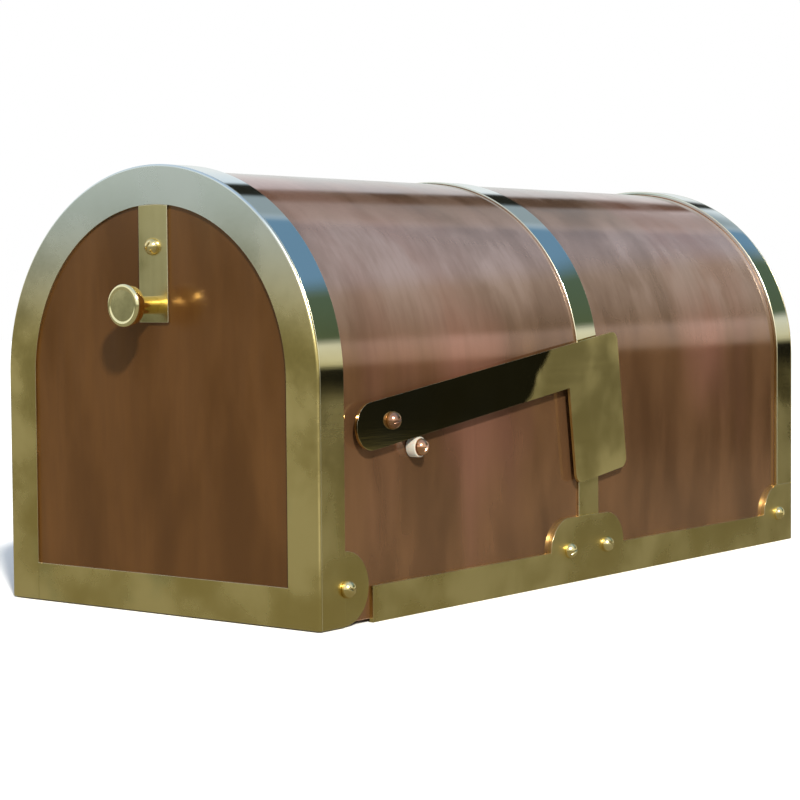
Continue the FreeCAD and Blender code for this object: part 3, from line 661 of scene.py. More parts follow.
@dataclass(frozen=True)
class Bench:
    """How a piece is worked after its sheet is cut: its wall, its cut-outs and its edges."""

    edge: Edge
    wall: float = 0.0
    cutters: tuple[bpy.types.Mesh, ...] = ()
    sharp: float = math.radians(35)
    edge_steps: int = 2

    def work(self, mesh: bpy.types.Mesh) -> bpy.types.Mesh:
        """Gives a mesh its wall, cuts it and breaks its sharp edges.

        Args:
            mesh: the sheet as cut.

        Returns:
            A plain mesh whose edge mask is 1 on the broken edges and 0 elsewhere; the finishes paint
            those edges a brighter tone, partly rubbed metal and partly a painted highlight.
        """
        blank = bpy.data.objects.new("blank", mesh)
        bpy.context.scene.collection.objects.link(blank)
        mesh.shade_smooth()
        helpers = []
        if self.wall:
            wall = blank.modifiers.new("wall", "SOLIDIFY")
            wall.thickness, wall.offset = self.wall, -1.0
        for cutter in self.cutters:
            helper = bpy.data.objects.new("cutter", cutter)
            bpy.context.scene.collection.objects.link(helper)
            helpers.append(helper)
            cut = blank.modifiers.new("cut", "BOOLEAN")
            cut.object, cut.operation, cut.solver = helper, "DIFFERENCE", "EXACT"
        mesh.materials.clear()
        for _ in range(2):
            mesh.materials.append(None)
        bevel = blank.modifiers.new("edges", "BEVEL")
        bevel.width, bevel.segments, bevel.limit_method = self.edge.value, self.edge_steps, "ANGLE"
        bevel.angle_limit, bevel.material = self.sharp, 1
        normals = blank.modifiers.new("normals", "WEIGHTED_NORMAL")
        normals.keep_sharp, normals.weight = True, 100
        worked = plain_mesh(blank)
        for helper in [blank, *helpers]:
            bpy.data.objects.remove(helper)
        shine = worked.attributes.new("edge_rub_and_highlight", "FLOAT", "CORNER")
        values = [0.0] * len(worked.loops)
        for polygon in worked.polygons:
            if polygon.material_index == 1:
                for loop in polygon.loop_indices:
                    values[loop] = 1.0
            polygon.material_index = 0
        shine.data.foreach_set("value", values)
        worked.materials.clear()
        return worked


def place_points(places: Sequence[Place]) -> bpy.types.Mesh:
    """Points that copies are set on.

    Args:
        places: each is the way a copy faces, where it stands and its turn in degrees.

    Returns:
        A mesh of points with their 'facing' angles.
    """
    mesh = bpy.data.meshes.new("places")
    mesh.from_pydata([place for _, place, _ in places], [], [])
    angles: list[float] = []
    for facing, _, turn in places:
        upright = Vector(facing.value).to_track_quat("Z", "Y").to_matrix()
        angles += (upright @ Matrix.Rotation(math.radians(turn), 3, "Z")).to_euler()[:]
    mesh.attributes.new("facing", "FLOAT_VECTOR", "POINT").data.foreach_set("vector", angles)
    return mesh


# ---- shader groups ------------------------------------------------------------------------------

SHADER_VECTOR = "NodeSocketVector"


class Effects:
    """The effects that several finishes share, each a node group built once."""

    cloud_range: Pair = (0.32, 0.68)    # noise that gives no cloud and full cloud
    patch_edge = 0.14                   # noise from a patch's edge to its full tone

    def __init__(self) -> None:
        """Builds every group."""
        self.clouds = self._clouds()
        self.grain = self._grain()
        self.waves = self._waves()

    def _clouds(self) -> bpy.types.NodeTree:
        """Tarnish that drifts over a sheet: soft clouds, and a few patches of another tone.

        Returns:
            The group.
        """
        tree, wiring, inputs, exit_node = new_group(
            "Tarnish clouds", "ShaderNodeTree",
            [("Vector", SHADER_VECTOR, None), ("Scale", FLOAT, 20.0), ("Patch Scale", FLOAT, 6.0),
             ("Stretch", SHADER_VECTOR, (1.0, 1.0, 1.0)), ("Patch Level", FLOAT, 0.58)],
            [("Clouds", FLOAT), ("Patches", FLOAT)])
        pulled = wiring.vector("MULTIPLY", inputs["Vector"], inputs["Stretch"])
        fine = wiring.add("ShaderNodeTexNoise", {"Vector": pulled, "Scale": inputs["Scale"],
                                                 "Detail": 4.0, "Roughness": 0.5, "Distortion": 0.2})
        broad = wiring.add("ShaderNodeTexNoise", {"Vector": pulled, "Scale": inputs["Patch Scale"],
                                                  "Detail": 3.0, "Roughness": 0.45, "Distortion": 0.3})
        wiring.feed(wiring.spread(fine.outputs[0], *self.cloud_range), exit_node.inputs["Clouds"])
        above = wiring.calc("SUBTRACT", broad.outputs[0], inputs["Patch Level"])
        wiring.feed(wiring.spread(above, 0.0, self.patch_edge), exit_node.inputs["Patches"])
        return tree

    @staticmethod
    def _grain() -> bpy.types.NodeTree:
        """Fine lines left by rubbing in one direction.

        Returns:
            The group.
        """
        tree, wiring, inputs, exit_node = new_group(
            "Rubbed grain", "ShaderNodeTree",
            [("Vector", SHADER_VECTOR, None), ("Stretch", SHADER_VECTOR, (1.0, 1.0, 1.0)),
             ("Scale", FLOAT, 900.0)], [("Grain", FLOAT)])
        pulled = wiring.vector("MULTIPLY", inputs["Vector"], inputs["Stretch"])
        lines = wiring.add("ShaderNodeTexNoise", {"Vector": pulled, "Scale": inputs["Scale"],
                                                  "Detail": 3.0, "Roughness": 0.6})
        wiring.feed(lines.outputs[0], exit_node.inputs["Grain"])
        return tree

    @staticmethod
    def _waves() -> bpy.types.NodeTree:
        """The slow waves of hand-worked sheet.

        Returns:
            The group.
        """
        tree, wiring, inputs, exit_node = new_group(
            "Sheet waves", "ShaderNodeTree",
            [("Vector", SHADER_VECTOR, None), ("Scale", FLOAT, 9.0)], [("Height", FLOAT)])
        slow = wiring.add("ShaderNodeTexNoise", {"Vector": inputs["Vector"], "Scale": inputs["Scale"],
                                                 "Detail": 1.0, "Roughness": 0.4})
        wiring.feed(slow.outputs[0], exit_node.inputs["Height"])
        return tree


EFFECTS = Effects()


def empty_material(name: str) -> tuple[bpy.types.Material, Wiring, bpy.types.NodeSocket]:
    """Starts a node material.

    Args:
        name: its name.

    Returns:
        The material, its wiring and the object coordinates.
    """
    material = bpy.data.materials.new(name)
    material.use_nodes = True
    material.node_tree.nodes.clear()
    wiring = Wiring(material.node_tree)
    return material, wiring, wiring.add("ShaderNodeTexCoord").outputs["Object"]


@dataclass(frozen=True)
class Metal:
    """A worked metal: two tones that cloud into each other, patches, grain, waves and bright edges that
    are partly rubbed metal and partly a painted highlight.

    Its polish, its paler tone painted on along one axis (a painted reflection of the sky, and on the
    knob a painted highlight on its face) and its seams are each left out unless they are given.
    """

    name: str
    deep: Colour
    light: Colour
    patch: Colour
    bright: Colour
    cloud_scale: float = 22.0
    patch_scale: float = 6.0
    patch_level: float = 0.56
    stretch: Triple = (1.0, 1.0, 1.0)
    dull: float = 0.34
    clear: float = 0.22
    edge_dull: float = 0.24
    lacquer: float = 0.0
    lacquer_dull: float = 0.06
    metallic: float = 1.0
    grain_stretch: Triple = (1.0, 0.05, 1.0)
    grain_scale: float = 420.0
    grain_depth: float = 0.000008
    grain_dull: float = 0.08
    streaks: float = 0.0
    streak_range: Pair = (0.42, 0.62)
    wave_scale: float = 9.0
    wave_depth: float = 0.0006
    polished_from: float | None = None
    polished_to: float = 0.0
    polish: float = 0.07
    polish_axis: int = 2
    polish_turn: Triple = (0.0, 0.0, 0.0)
    polish_ragged: float = 0.006
    seam_at: float = 0.0
    seam_below: float = 0.0
    seam_ease: float = 0.0003
    seam_width: Pair = (0.00045, 0.0001)
    seam_depth: float = 0.0001
    painted_reflection: Colour | None = None
    painted_reflection_axis: int = 2
    painted_reflection_from: float = 0.09
    painted_reflection_to: float = 0.19
    painted_reflection_thin: float = 1.0
    painted_reflection_ebb_from: float = 1.0
    painted_reflection_ebb_to: float = 2.0
    painted_reflection_ebb_share: float = 0.0

    def material(self) -> bpy.types.Material:
        """Builds the material.

        Returns:
            A node material on object coordinates.
        """
        material, wiring, place = empty_material(self.name)
        # Its patches are tarnish on most finishes; on the ring they carry a painted reflection of
        # trees.
        tarnish = wiring.group(EFFECTS.clouds,
                               {"Vector": place, "Scale": self.cloud_scale, "Stretch": self.stretch,
                                "Patch Scale": self.patch_scale, "Patch Level": self.patch_level})
        grain = wiring.group(EFFECTS.grain, {"Vector": place, "Stretch": self.grain_stretch,
                                             "Scale": self.grain_scale}).outputs["Grain"]
        waves = wiring.group(EFFECTS.waves, {"Vector": place,
                                             "Scale": self.wave_scale}).outputs["Height"]
        clouds = tarnish.outputs["Clouds"]
        # Mask of the broken edges, painted a brighter tone: partly rubbed metal, partly a painted
        # highlight.
        edge = wiring.add("ShaderNodeAttribute", attribute_name="edge_rub_and_highlight").outputs["Fac"]
        tone = self._tone(wiring, place, clouds, tarnish.outputs["Patches"], grain)
        rough = self._roughness(wiring, place, clouds, grain)
        relief = wiring.calc("ADD", wiring.calc("MULTIPLY", grain, self.grain_depth),
                             wiring.calc("MULTIPLY", waves, self.wave_depth))
        if self.seam_at:
            seam = self._seam(wiring, place)
            tone = wiring.blend(seam, tone, self.deep)
            relief = wiring.calc("SUBTRACT", relief,
                                 wiring.calc("MULTIPLY", seam, self.seam_depth))
        bump = wiring.add("ShaderNodeBump", {"Height": relief, "Distance": 1.0, "Strength": 1.0})
        surface = wiring.add("ShaderNodeBsdfPrincipled",
                             {"Base Color": wiring.blend(edge, tone, self.bright),
                              "Roughness": wiring.spread(edge, 0.0, 1.0, rough, self.edge_dull),
                              "Metallic": self.metallic, "Normal": bump.outputs[0],
                              "Coat Weight": self.lacquer, "Coat Roughness": self.lacquer_dull})
        wiring.add("ShaderNodeOutputMaterial", {"Surface": surface.outputs[0]})
        return material

    def _tone(self, wiring: Wiring, place: bpy.types.NodeSocket, clouds: bpy.types.NodeSocket,
              patches: bpy.types.NodeSocket, grain: bpy.types.NodeSocket) -> bpy.types.NodeSocket:
        """The colour before edges and seams: clouds, patches, a paler tone painted on along one axis as
        a painted reflection, and the rubbed streaks.

        Args:
            wiring: adds nodes to the material.
            place: the object coordinates.
            clouds: mask of the clouds.
            patches: mask of the patches.
            grain: the rubbed grain.

        Returns:
            The colour.
        """
        tone = wiring.blend(patches, wiring.blend(clouds, self.deep, self.light), self.patch)
        # A paler tone painted on along one axis: a painted reflection of the sky on the upper parts,
        # thinned under the clouds and taken back a little near the top where a second range is given.
        if self.painted_reflection is not None:
            height = wiring.add("ShaderNodeSeparateXYZ", {0: place}).outputs[self.painted_reflection_axis]
            share = wiring.calc("MULTIPLY", wiring.spread(height, self.painted_reflection_from, self.painted_reflection_to),
                                wiring.spread(height, self.painted_reflection_ebb_from, self.painted_reflection_ebb_to, 1.0,
                                              self.painted_reflection_ebb_share))
            cloudy = wiring.spread(clouds, 0.0, 1.0, self.painted_reflection_thin, 1.0)
            tone = wiring.blend(wiring.calc("MULTIPLY", share, cloudy), tone, self.painted_reflection)
        if self.streaks:
            drawn = wiring.calc("MULTIPLY", wiring.spread(grain, *self.streak_range), self.streaks)
            tone = wiring.blend(drawn, tone, self.deep)
        return tone

    def _roughness(self, wiring: Wiring, place: bpy.types.NodeSocket, clouds: bpy.types.NodeSocket,
                   grain: bpy.types.NodeSocket) -> bpy.types.NodeSocket:
        """The roughness before edges: duller under the clouds, and smooth past the polish's start.

        Args:
            wiring: adds nodes to the material.
            place: the object coordinates.
            clouds: mask of the clouds.
            grain: the rubbed grain.

        Returns:
            The roughness.
        """
        fine = wiring.calc("MULTIPLY", wiring.calc("SUBTRACT", grain, 0.5), self.grain_dull)
        rough = wiring.calc("ADD", wiring.spread(clouds, 0.0, 1.0, self.clear, self.dull), fine)
        if self.polished_from is None:
            return rough
        turned = wiring.add("ShaderNodeMapping", {"Vector": place, "Rotation": self.polish_turn})
        along = wiring.add("ShaderNodeSeparateXYZ", {0: turned.outputs[0]}).outputs[self.polish_axis]
        ragged = wiring.calc("ADD", along, wiring.calc("MULTIPLY", clouds, self.polish_ragged))
        share = wiring.spread(ragged, self.polished_from, self.polished_to)
        left = wiring.calc("MULTIPLY", rough, wiring.calc("SUBTRACT", 1.0, share))
        return wiring.calc("ADD", left, wiring.calc("MULTIPLY", share, self.polish))

    def _seam(self, wiring: Wiring, place: bpy.types.NodeSocket) -> bpy.types.NodeSocket:
        """The upright joints on both sides, below a height.

        Args:
            wiring: adds nodes to the material.
            place: the object coordinates.

        Returns:
            A mask that is 1 in the joints.
        """
        across, _, up = wiring.add("ShaderNodeSeparateXYZ", {0: place}).outputs
        off = wiring.calc("ABSOLUTE", wiring.calc("SUBTRACT", wiring.calc("ABSOLUTE", across),
                                                  self.seam_at))
        below = wiring.spread(up, self.seam_below + self.seam_ease, self.seam_below)
        return wiring.calc("MULTIPLY", wiring.spread(off, *self.seam_width), below)


@dataclass(frozen=True)
class Nylon:
    """White nylon, a little dirty."""

    name: str = "white nylon"
    clean: Colour = (0.38, 0.35, 0.29, 1.0)
    soiled: Colour = (0.22, 0.18, 0.13, 1.0)
    dirt_scale: float = 160.0
    patch_scale: float = 90.0
    patch_level: float = 0.52
    dull: Pair = (0.35, 0.55)
    bleed: float = 0.15
    bleed_depth: float = 0.002

    def material(self) -> bpy.types.Material:
        """Builds the material.

        Returns:
            A node material on object coordinates.
        """
        material, wiring, place = empty_material(self.name)
        dirt = wiring.group(EFFECTS.clouds,
                            {"Vector": place, "Scale": self.dirt_scale,
                             "Patch Scale": self.patch_scale, "Patch Level": self.patch_level})
        tone = wiring.blend(dirt.outputs["Patches"], self.clean, self.soiled)
        rough = wiring.spread(dirt.outputs["Clouds"], 0.0, 1.0, *self.dull)
        surface = wiring.add("ShaderNodeBsdfPrincipled",
                             {"Base Color": tone, "Roughness": rough,
                              "Subsurface Weight": self.bleed, "Subsurface Scale": self.bleed_depth})
        wiring.add("ShaderNodeOutputMaterial", {"Surface": surface.outputs[0]})
        return material


# ---- finishes -----------------------------------------------------------------------------------

BRASS_DEEP: Colour = (0.60, 0.47, 0.17, 1.0)
BRASS_LIGHT: Colour = (0.76, 0.62, 0.27, 1.0)
BRASS_PATCH: Colour = (0.64, 0.56, 0.30, 1.0)
# The bright tone of every broken brass edge: partly rubbed metal, partly a painted highlight.
BRASS_RUBBED_EDGE_HIGHLIGHT: Colour = (0.92, 0.84, 0.60, 1.0)
# A greener tone painted in patches on the ring: a painted reflection of trees.
BRASS_PAINTED_TREE_REFLECTION: Colour = (0.50, 0.47, 0.22, 1.0)
# Pale blue-grey tone painted on the upper rings and rims by height: a painted reflection of the sky.
BRASS_PAINTED_SKY: Colour = (0.72, 0.78, 0.74, 1.0)
COPPER_DEEP: Colour = (0.105, 0.050, 0.021, 1.0)
COPPER_LIGHT: Colour = (0.180, 0.088, 0.038, 1.0)
COPPER_PATCH: Colour = (0.255, 0.115, 0.072, 1.0)
# Pale pinkish tone painted on the upper shell by height: a painted reflection of the sky.
COPPER_PAINTED_SKY: Colour = (0.39, 0.275, 0.23, 1.0)
# The bright tone of every broken copper edge: partly rubbed metal, partly a painted highlight.
COPPER_RUBBED_EDGE_HIGHLIGHT: Colour = (0.62, 0.38, 0.26, 1.0)
DOOR_DEEP: Colour = (0.062, 0.025, 0.006, 1.0)
DOOR_LIGHT: Colour = (0.098, 0.041, 0.010, 1.0)
DOOR_PATCH: Colour = (0.080, 0.046, 0.014, 1.0)


class Finish(Enum):
    """Every finish on the box, by the record's material slots."""

    # The shell's upper part is painted a paler, pinker tone by height, a painted reflection of the sky,
    # taken back a little towards the crown as a painted darker band.
    COPPER_SHELL = Metal("shell copper", COPPER_DEEP, COPPER_LIGHT, COPPER_PATCH, COPPER_RUBBED_EDGE_HIGHLIGHT,
                         stretch=(1.0, 1.0, 0.35), lacquer=0.2, cloud_scale=30.0, metallic=0.6,
                         clear=0.09, dull=0.16, patch_level=0.53, painted_reflection_thin=0.6, streaks=0.12,
                         grain_scale=170.0, grain_stretch=(0.3, 1.0, 0.1), painted_reflection=COPPER_PAINTED_SKY,
                         painted_reflection_from=0.100, painted_reflection_to=0.155, painted_reflection_ebb_from=0.162, painted_reflection_ebb_to=0.190,
                         painted_reflection_ebb_share=0.25)
    COPPER_DOOR = Metal("door copper", DOOR_DEEP, DOOR_LIGHT, DOOR_PATCH, COPPER_RUBBED_EDGE_HIGHLIGHT,
                        stretch=(1.0, 1.0, 0.3), lacquer=0.10, cloud_scale=26.0, streaks=0.25,
                        grain_scale=170.0, grain_stretch=(1.0, 1.0, 0.1), clear=0.14, dull=0.22,
                        metallic=0.3)
    COPPER_FLOOR = Metal("floor copper", COPPER_DEEP, COPPER_LIGHT, COPPER_PATCH, COPPER_RUBBED_EDGE_HIGHLIGHT,
                         clear=0.3, dull=0.45)
    # The ring's patches are a greener tone, a painted reflection of trees, and its upper part is
    # painted a pale tone by height, a painted reflection of the sky.
    BRASS_RING = Metal("ring brass", BRASS_DEEP, BRASS_LIGHT, BRASS_PAINTED_TREE_REFLECTION, BRASS_RUBBED_EDGE_HIGHLIGHT,
                       clear=0.2, dull=0.32, seam_at=0.0878, seam_below=-0.004, patch_scale=14.0,
                       painted_reflection=BRASS_PAINTED_SKY, painted_reflection_from=0.11, painted_reflection_to=0.19)
    # The rims' upper part is painted a pale tone by height: a painted reflection of the sky.
    BRASS_RIM = Metal("rim brass", BRASS_DEEP, BRASS_LIGHT, BRASS_PATCH, BRASS_RUBBED_EDGE_HIGHLIGHT,
                      clear=0.2, dull=0.32, polished_from=0.085, polished_to=0.105,
                      painted_reflection=BRASS_PAINTED_SKY, painted_reflection_from=0.09, painted_reflection_to=0.15)
    BRASS_RAIL = Metal("rail brass", BRASS_DEEP, BRASS_LIGHT, BRASS_PATCH, BRASS_RUBBED_EDGE_HIGHLIGHT,
                       clear=0.24, dull=0.36)
    BRASS_STRAP = Metal("strap brass", (0.55, 0.47, 0.22, 1.0), (0.68, 0.60, 0.32, 1.0), BRASS_PATCH,
                        BRASS_RUBBED_EDGE_HIGHLIGHT, clear=0.14, dull=0.24, grain_stretch=(1.0, 1.0, 0.05))
    # The knob's front is painted a pale tone along its axis: a painted highlight across its face and
    # rim.
    BRASS_KNOB = Metal("knob brass", (0.74, 0.50, 0.12, 1.0), (0.85, 0.62, 0.20, 1.0),
                       BRASS_PATCH, BRASS_RUBBED_EDGE_HIGHLIGHT, clear=0.14, dull=0.2, cloud_scale=60.0,
                       wave_depth=0.0, painted_reflection=(0.98, 0.88, 0.50, 1.0), painted_reflection_axis=1,
                       painted_reflection_from=-0.2590, painted_reflection_to=-0.2606)
    BRASS_FLAG = Metal("flag brass", BRASS_DEEP, BRASS_LIGHT, BRASS_PATCH, BRASS_RUBBED_EDGE_HIGHLIGHT,
                       clear=0.3, dull=0.42, polished_from=-0.0955, polished_to=-0.1015, polish_axis=1,
                       polish_turn=(math.radians(35), 0.0, 0.0), polish=0.05, wave_depth=0.0002)
    BRASS_SCREW = Metal("screw brass", (0.80, 0.62, 0.26, 1.0), (0.90, 0.76, 0.40, 1.0),
                        BRASS_PATCH, BRASS_RUBBED_EDGE_HIGHLIGHT, clear=0.12, dull=0.2, cloud_scale=200.0,
                        wave_depth=0.0)
    BRASS_NUT = Metal("nut brass", BRASS_DEEP, BRASS_LIGHT, BRASS_PATCH, BRASS_RUBBED_EDGE_HIGHLIGHT,
                      clear=0.3, dull=0.42, cloud_scale=150.0, wave_depth=0.0)
    COPPER_SCREW = Metal("screw copper", (0.72, 0.36, 0.20, 1.0), (0.84, 0.50, 0.32, 1.0),
                         COPPER_PATCH, COPPER_RUBBED_EDGE_HIGHLIGHT, clear=0.16, dull=0.26, cloud_scale=200.0,
                         wave_depth=0.0)
    SPRING_BRASS = Metal("spring brass", BRASS_DEEP, BRASS_LIGHT, BRASS_PATCH, BRASS_RUBBED_EDGE_HIGHLIGHT,
                         clear=0.26, dull=0.4, cloud_scale=80.0)
    WHITE_NYLON = Nylon()

    @property
    def slot(self) -> str:
        """The record's name for this finish."""
        return self.name.lower()

    def material(self) -> bpy.types.Material:
        """The finish's material, built on first use."""
        return bpy.data.materials.get(self.value.name) or self.value.material()


# ---- pieces -------------------------------------------------------------------------------------

def add_piece(name: str, mesh: bpy.types.Mesh, finish: Finish, body: Body) -> bpy.types.Object:
    """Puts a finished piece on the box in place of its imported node.

    Args:
        name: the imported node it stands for.
        mesh: its mesh, in place.
        finish: its finish.
        body: the body it rides on.

    Returns:
        The piece.
    """
    mesh.name = name + "_mesh"
    mesh.materials.clear()
    mesh.materials.append(finish.material())
    piece = bpy.data.objects.new(name + "_piece", mesh)
    bpy.context.scene.collection.objects.link(piece)
    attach(piece, body.value)
    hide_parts(name)
    log.info("%s: %d faces, %s, on %s", name, len(mesh.polygons), finish.value.name, body.value)
    return piece


@dataclass(frozen=True)
class Trees:
    """The geometry trees that the sub-assemblies share."""

    strip: BentStrip = field(default_factory=BentStrip)
    screws: SlottedScrews = field(default_factory=SlottedScrews)
    nuts: HexagonNuts = field(default_factory=HexagonNuts)
    turned: TurnedPieces = field(default_factory=TurnedPieces)


@dataclass
class SubAssembly:
    """What the sub-assemblies have in common: the arch, the trees and the way to add pieces."""

    trees: Trees
    body: Body = Body.BOX

    @property
    def centre(self) -> float:
        """Height of the arch's centre."""
        _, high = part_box("shell")
        return high.z - high.x

    def bent_strip(self, node: str, thickness: float, finish: Finish, edge: Edge = Edge.BENT,
                   cutters: tuple[bpy.types.Mesh, ...] = ()) -> None:
        """Bends a strip over the arch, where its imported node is.

        Args:
            node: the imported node.
            thickness: the strip's thickness.
            finish: its finish.
            edge: how far its edges are broken.
            cutters: closed meshes cut out of it.
        """
        low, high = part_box(node)
        sheet = self.trees.strip.grow(bpy.data.meshes.new("start"), finish.material(),
                                      Radius=high.x, Centre=self.centre, Foot=low.z, Front=low.y,
                                      Back=high.y)
        add_piece(node, Bench(edge, thickness, cutters).work(sheet), finish, self.body)

    def plate(self, node: str, outline: Outline, plane: Plane, edge: Edge, finish: Finish) -> None:
        """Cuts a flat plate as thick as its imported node.

        Args:
            node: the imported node.
            outline: the plate's outline.
            plane: the plane that it is drawn in.
            edge: how far its edges are broken.
            finish: its finish.
        """
        low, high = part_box(node)
        near, far = (low.x, high.x) if plane is Plane.SIDE else (low.y, high.y)
        mesh = sheet_mesh(node, [outline], plane, near, far)
        add_piece(node, Bench(edge).work(mesh), finish, self.body)

    def panel(self, node: str, centre: float) -> None:
        """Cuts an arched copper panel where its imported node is.

        Args:
            node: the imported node.
            centre: height of its arch's centre.
        """
        low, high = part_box(node)
        arch = arch_outline(high.x, centre, low.z)
        self.plate(node, arch, Plane.END, Edge.PANEL, Finish.COPPER_DOOR)

    def fasten(self, node: str, places: Sequence[Place], shank: float, finish: Finish) -> None:
        """Sets slotted screws at places, with shanks of one length."""
        mesh = self.trees.screws.grow(place_points(places), finish.material(), Shank_Length=shank)
        add_piece(node, mesh, finish, self.body)

    def nut(self, node: str, places: Sequence[Place]) -> None:
        """Sets nuts at places."""
        mesh = self.trees.nuts.grow(place_points(places), Finish.BRASS_NUT.material())
        add_piece(node, mesh, Finish.BRASS_NUT, self.body)

    def turn(self, node: str, profile: Sequence[Pair], place: Place, finish: Finish, steps: int = 64
             ) -> None:
        """Turns a piece from its profile.

        Args:
            node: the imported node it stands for.
            profile: (radius, height) points.
            place: the way it faces, where its zero stands and its turn.
            finish: its finish.
            steps: faces round it.
        """
        drawn = bpy.data.meshes.new("profile")
        drawn.from_pydata([(radius, 0.0, height) for radius, height in profile], [], [])
        pattern = bpy.data.objects.new("profile", drawn)
        bpy.context.scene.collection.objects.link(pattern)
        mesh = self.trees.turned.grow(place_points([place]), finish.material(), Profile=pattern,
                                      Steps=steps)
        bpy.data.objects.remove(pattern)
        point_outwards(mesh)
        mesh.set_sharp_from_angle(angle=CREASE)
        add_piece(node, mesh, finish, self.body)


@dataclass
class RingedPart(SubAssembly):
    """A part of the box that ends in a flat ring: the tunnel or the door."""

    sheet: float = 0.0012
    hinge: Pair = (-0.2185, -0.0052)
    ring_width: float = 0.0202
    ring_round: float = 0.0012
    window_foot: float = -0.004
    square_foot: float = 0.0001

    def ring(self, node: str, shown: Facing) -> None:
        """Cuts a flat ring and files its outer edge round on the face that shows.

        Args:
            node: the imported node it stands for.
            shown: the way that face points.
        """
        low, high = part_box(node)
        radius, centre = high.x, high.z - high.x
        face = low.y if shown is Facing.FRONT else high.y
        outer = arch_outline(radius, centre, low.z)
        window = arch_outline(radius - self.ring_width, centre, self.window_foot)
        mesh = sheet_mesh(node, [outer, window], Plane.END, low.y, high.y)

        def on_outer_edge(first: Vector, second: Vector) -> bool:
            """Whether an edge follows the ring's outside on the face that shows.

            Args:
                first: one end of the edge.
                second: its other end.

            Returns:
                True for an edge that is filed; those along the foot stay square.
            """
            middle = (first + second) / 2
            out = abs(middle.x) if middle.z < centre else math.hypot(middle.x, middle.z - centre)
            return (out > radius - self.ring_width / 2 and middle.z > low.z + self.square_foot
                    and abs(first.y - face) < ON_FACE and abs(second.y - face) < ON_FACE)

        file_edges(mesh, on_outer_edge, self.ring_round)
        add_piece(node, Bench(Edge.FINE).work(mesh), Finish.BRASS_RING, self.body)


@dataclass
class Tunnel(RingedPart):
    """The arched shell, its rear end, the middle band and the floor."""

    rear_rim: float = 0.0024
    corner_radius: float = 0.0171
    corner_steps: int = 24

    def build(self) -> None:
        """Builds every piece of the tunnel."""
        self.bent_strip("shell", self.sheet, Finish.COPPER_SHELL, cutters=(self._corner_waste(),))
        self.bent_strip("middle_band", self.sheet, Finish.BRASS_RIM)
        self.bent_strip("rear_rim", self.rear_rim, Finish.BRASS_RIM, Edge.RIM)
        self.panel("rear_panel", self.centre)
        self.ring("rear_ring", Facing.REAR)
        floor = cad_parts["floor_pan"]
        floor.data.materials.clear()
        floor.data.materials.append(Finish.COPPER_FLOOR.material())
        log.info("floor_pan: as packed, %s", Finish.COPPER_FLOOR.value.name)

    def _corner_waste(self) -> bpy.types.Mesh:
        """What is cut from the shell's lower front corners, round the hinge screws.

        Returns:
            A closed mesh that reaches through both sides.
        """
        low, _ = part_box("shell")
        front, below = low.y - MARGIN, low.z - MARGIN
        waste = Outline().to((front, below), (self.hinge[0], below))
        waste.arc(self.hinge, self.corner_radius, -90, -180, self.corner_steps)
        waste.to((front, self.hinge[1]))
        return sheet_mesh("corner waste", [waste], Plane.SIDE, -THROUGH, THROUGH)


@dataclass
class Rails(SubAssembly):
    """The bottom rails with their lobes, and the screws and nuts that hold them."""

    screws_along: Triple = (-0.0225, 0.0155, 0.22)
    slot_turns: Triple = (25.0, -40.0, 70.0)
    shank: float = 0.0094
    nut_seat: float = 0.1029
    lobe_steps: int = 20

    def build(self) -> None:
        """Builds both rails and their fasteners."""
        for node in ("side_rail_right", "side_rail_left"):
            outline = self._outline(*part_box(node))
            self.plate(node, outline, Plane.SIDE, Edge.RAIL, Finish.BRASS_RAIL)
        low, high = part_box("side_rail_right")
        height = low.z + (high.z - low.z) / 2
        spots = list(zip(self.screws_along, self.slot_turns))
        heads = [(Facing.RIGHT, (high.x, along, height), turn) for along, turn in spots]
        heads += [(Facing.LEFT, (-high.x, along, height), -turn) for along, turn in spots]
        self.fasten("rail_screws", heads, self.shank, Finish.BRASS_SCREW)
        seats = [(Facing.LEFT, (self.nut_seat, along, height), turn) for along, turn in spots]
        seats += [(Facing.RIGHT, (-self.nut_seat, along, height), turn) for along, turn in spots]
        self.nut("rail_nuts", seats)

    def _outline(self, low: Vector, high: Vector) -> Outline:
        """A bar, a lobe over the two middle screws and half a lobe at the rear.

        Args:
            low: the rail's lowest corner.
            high: its highest corner.

        Returns:
            The rail's outline.
        """
        radius = (high.z - low.z) / 2
        bar = low.z + radius
        first, second, rear = self.screws_along
        outline = Outline().to((low.y, low.z), (high.y, low.z), (high.y, high.z))
        for along, start, stop in ((rear, 90, 180), (second, 0, 90), (first, 90, 180)):
            outline.arc((along, bar), radius, start, stop, self.lobe_steps)
        return outline.to((low.y, bar))


@dataclass
class Hinge(SubAssembly):
    """The two screws that the door turns on, and their nuts."""

    seat: float = 0.1083
    pin: Pair = (-0.2185, -0.0052)
    shank: float = 0.0088
    nut_seat: float = 0.1041
    slot_turn: float = 20.0
    nut_turns: Pair = (10.0, 40.0)

    def build(self) -> None:
        """Builds the hinge screws and nuts."""
        heads = [(Facing.RIGHT, (self.seat, *self.pin), -self.slot_turn),
                 (Facing.LEFT, (-self.seat, *self.pin), self.slot_turn)]
        self.fasten("hinge_screws", heads, self.shank, Finish.BRASS_SCREW)
        self.nut("hinge_nuts", [(Facing.LEFT, (self.nut_seat, *self.pin), self.nut_turns[0]),
                                (Facing.RIGHT, (-self.nut_seat, *self.pin), self.nut_turns[1])])


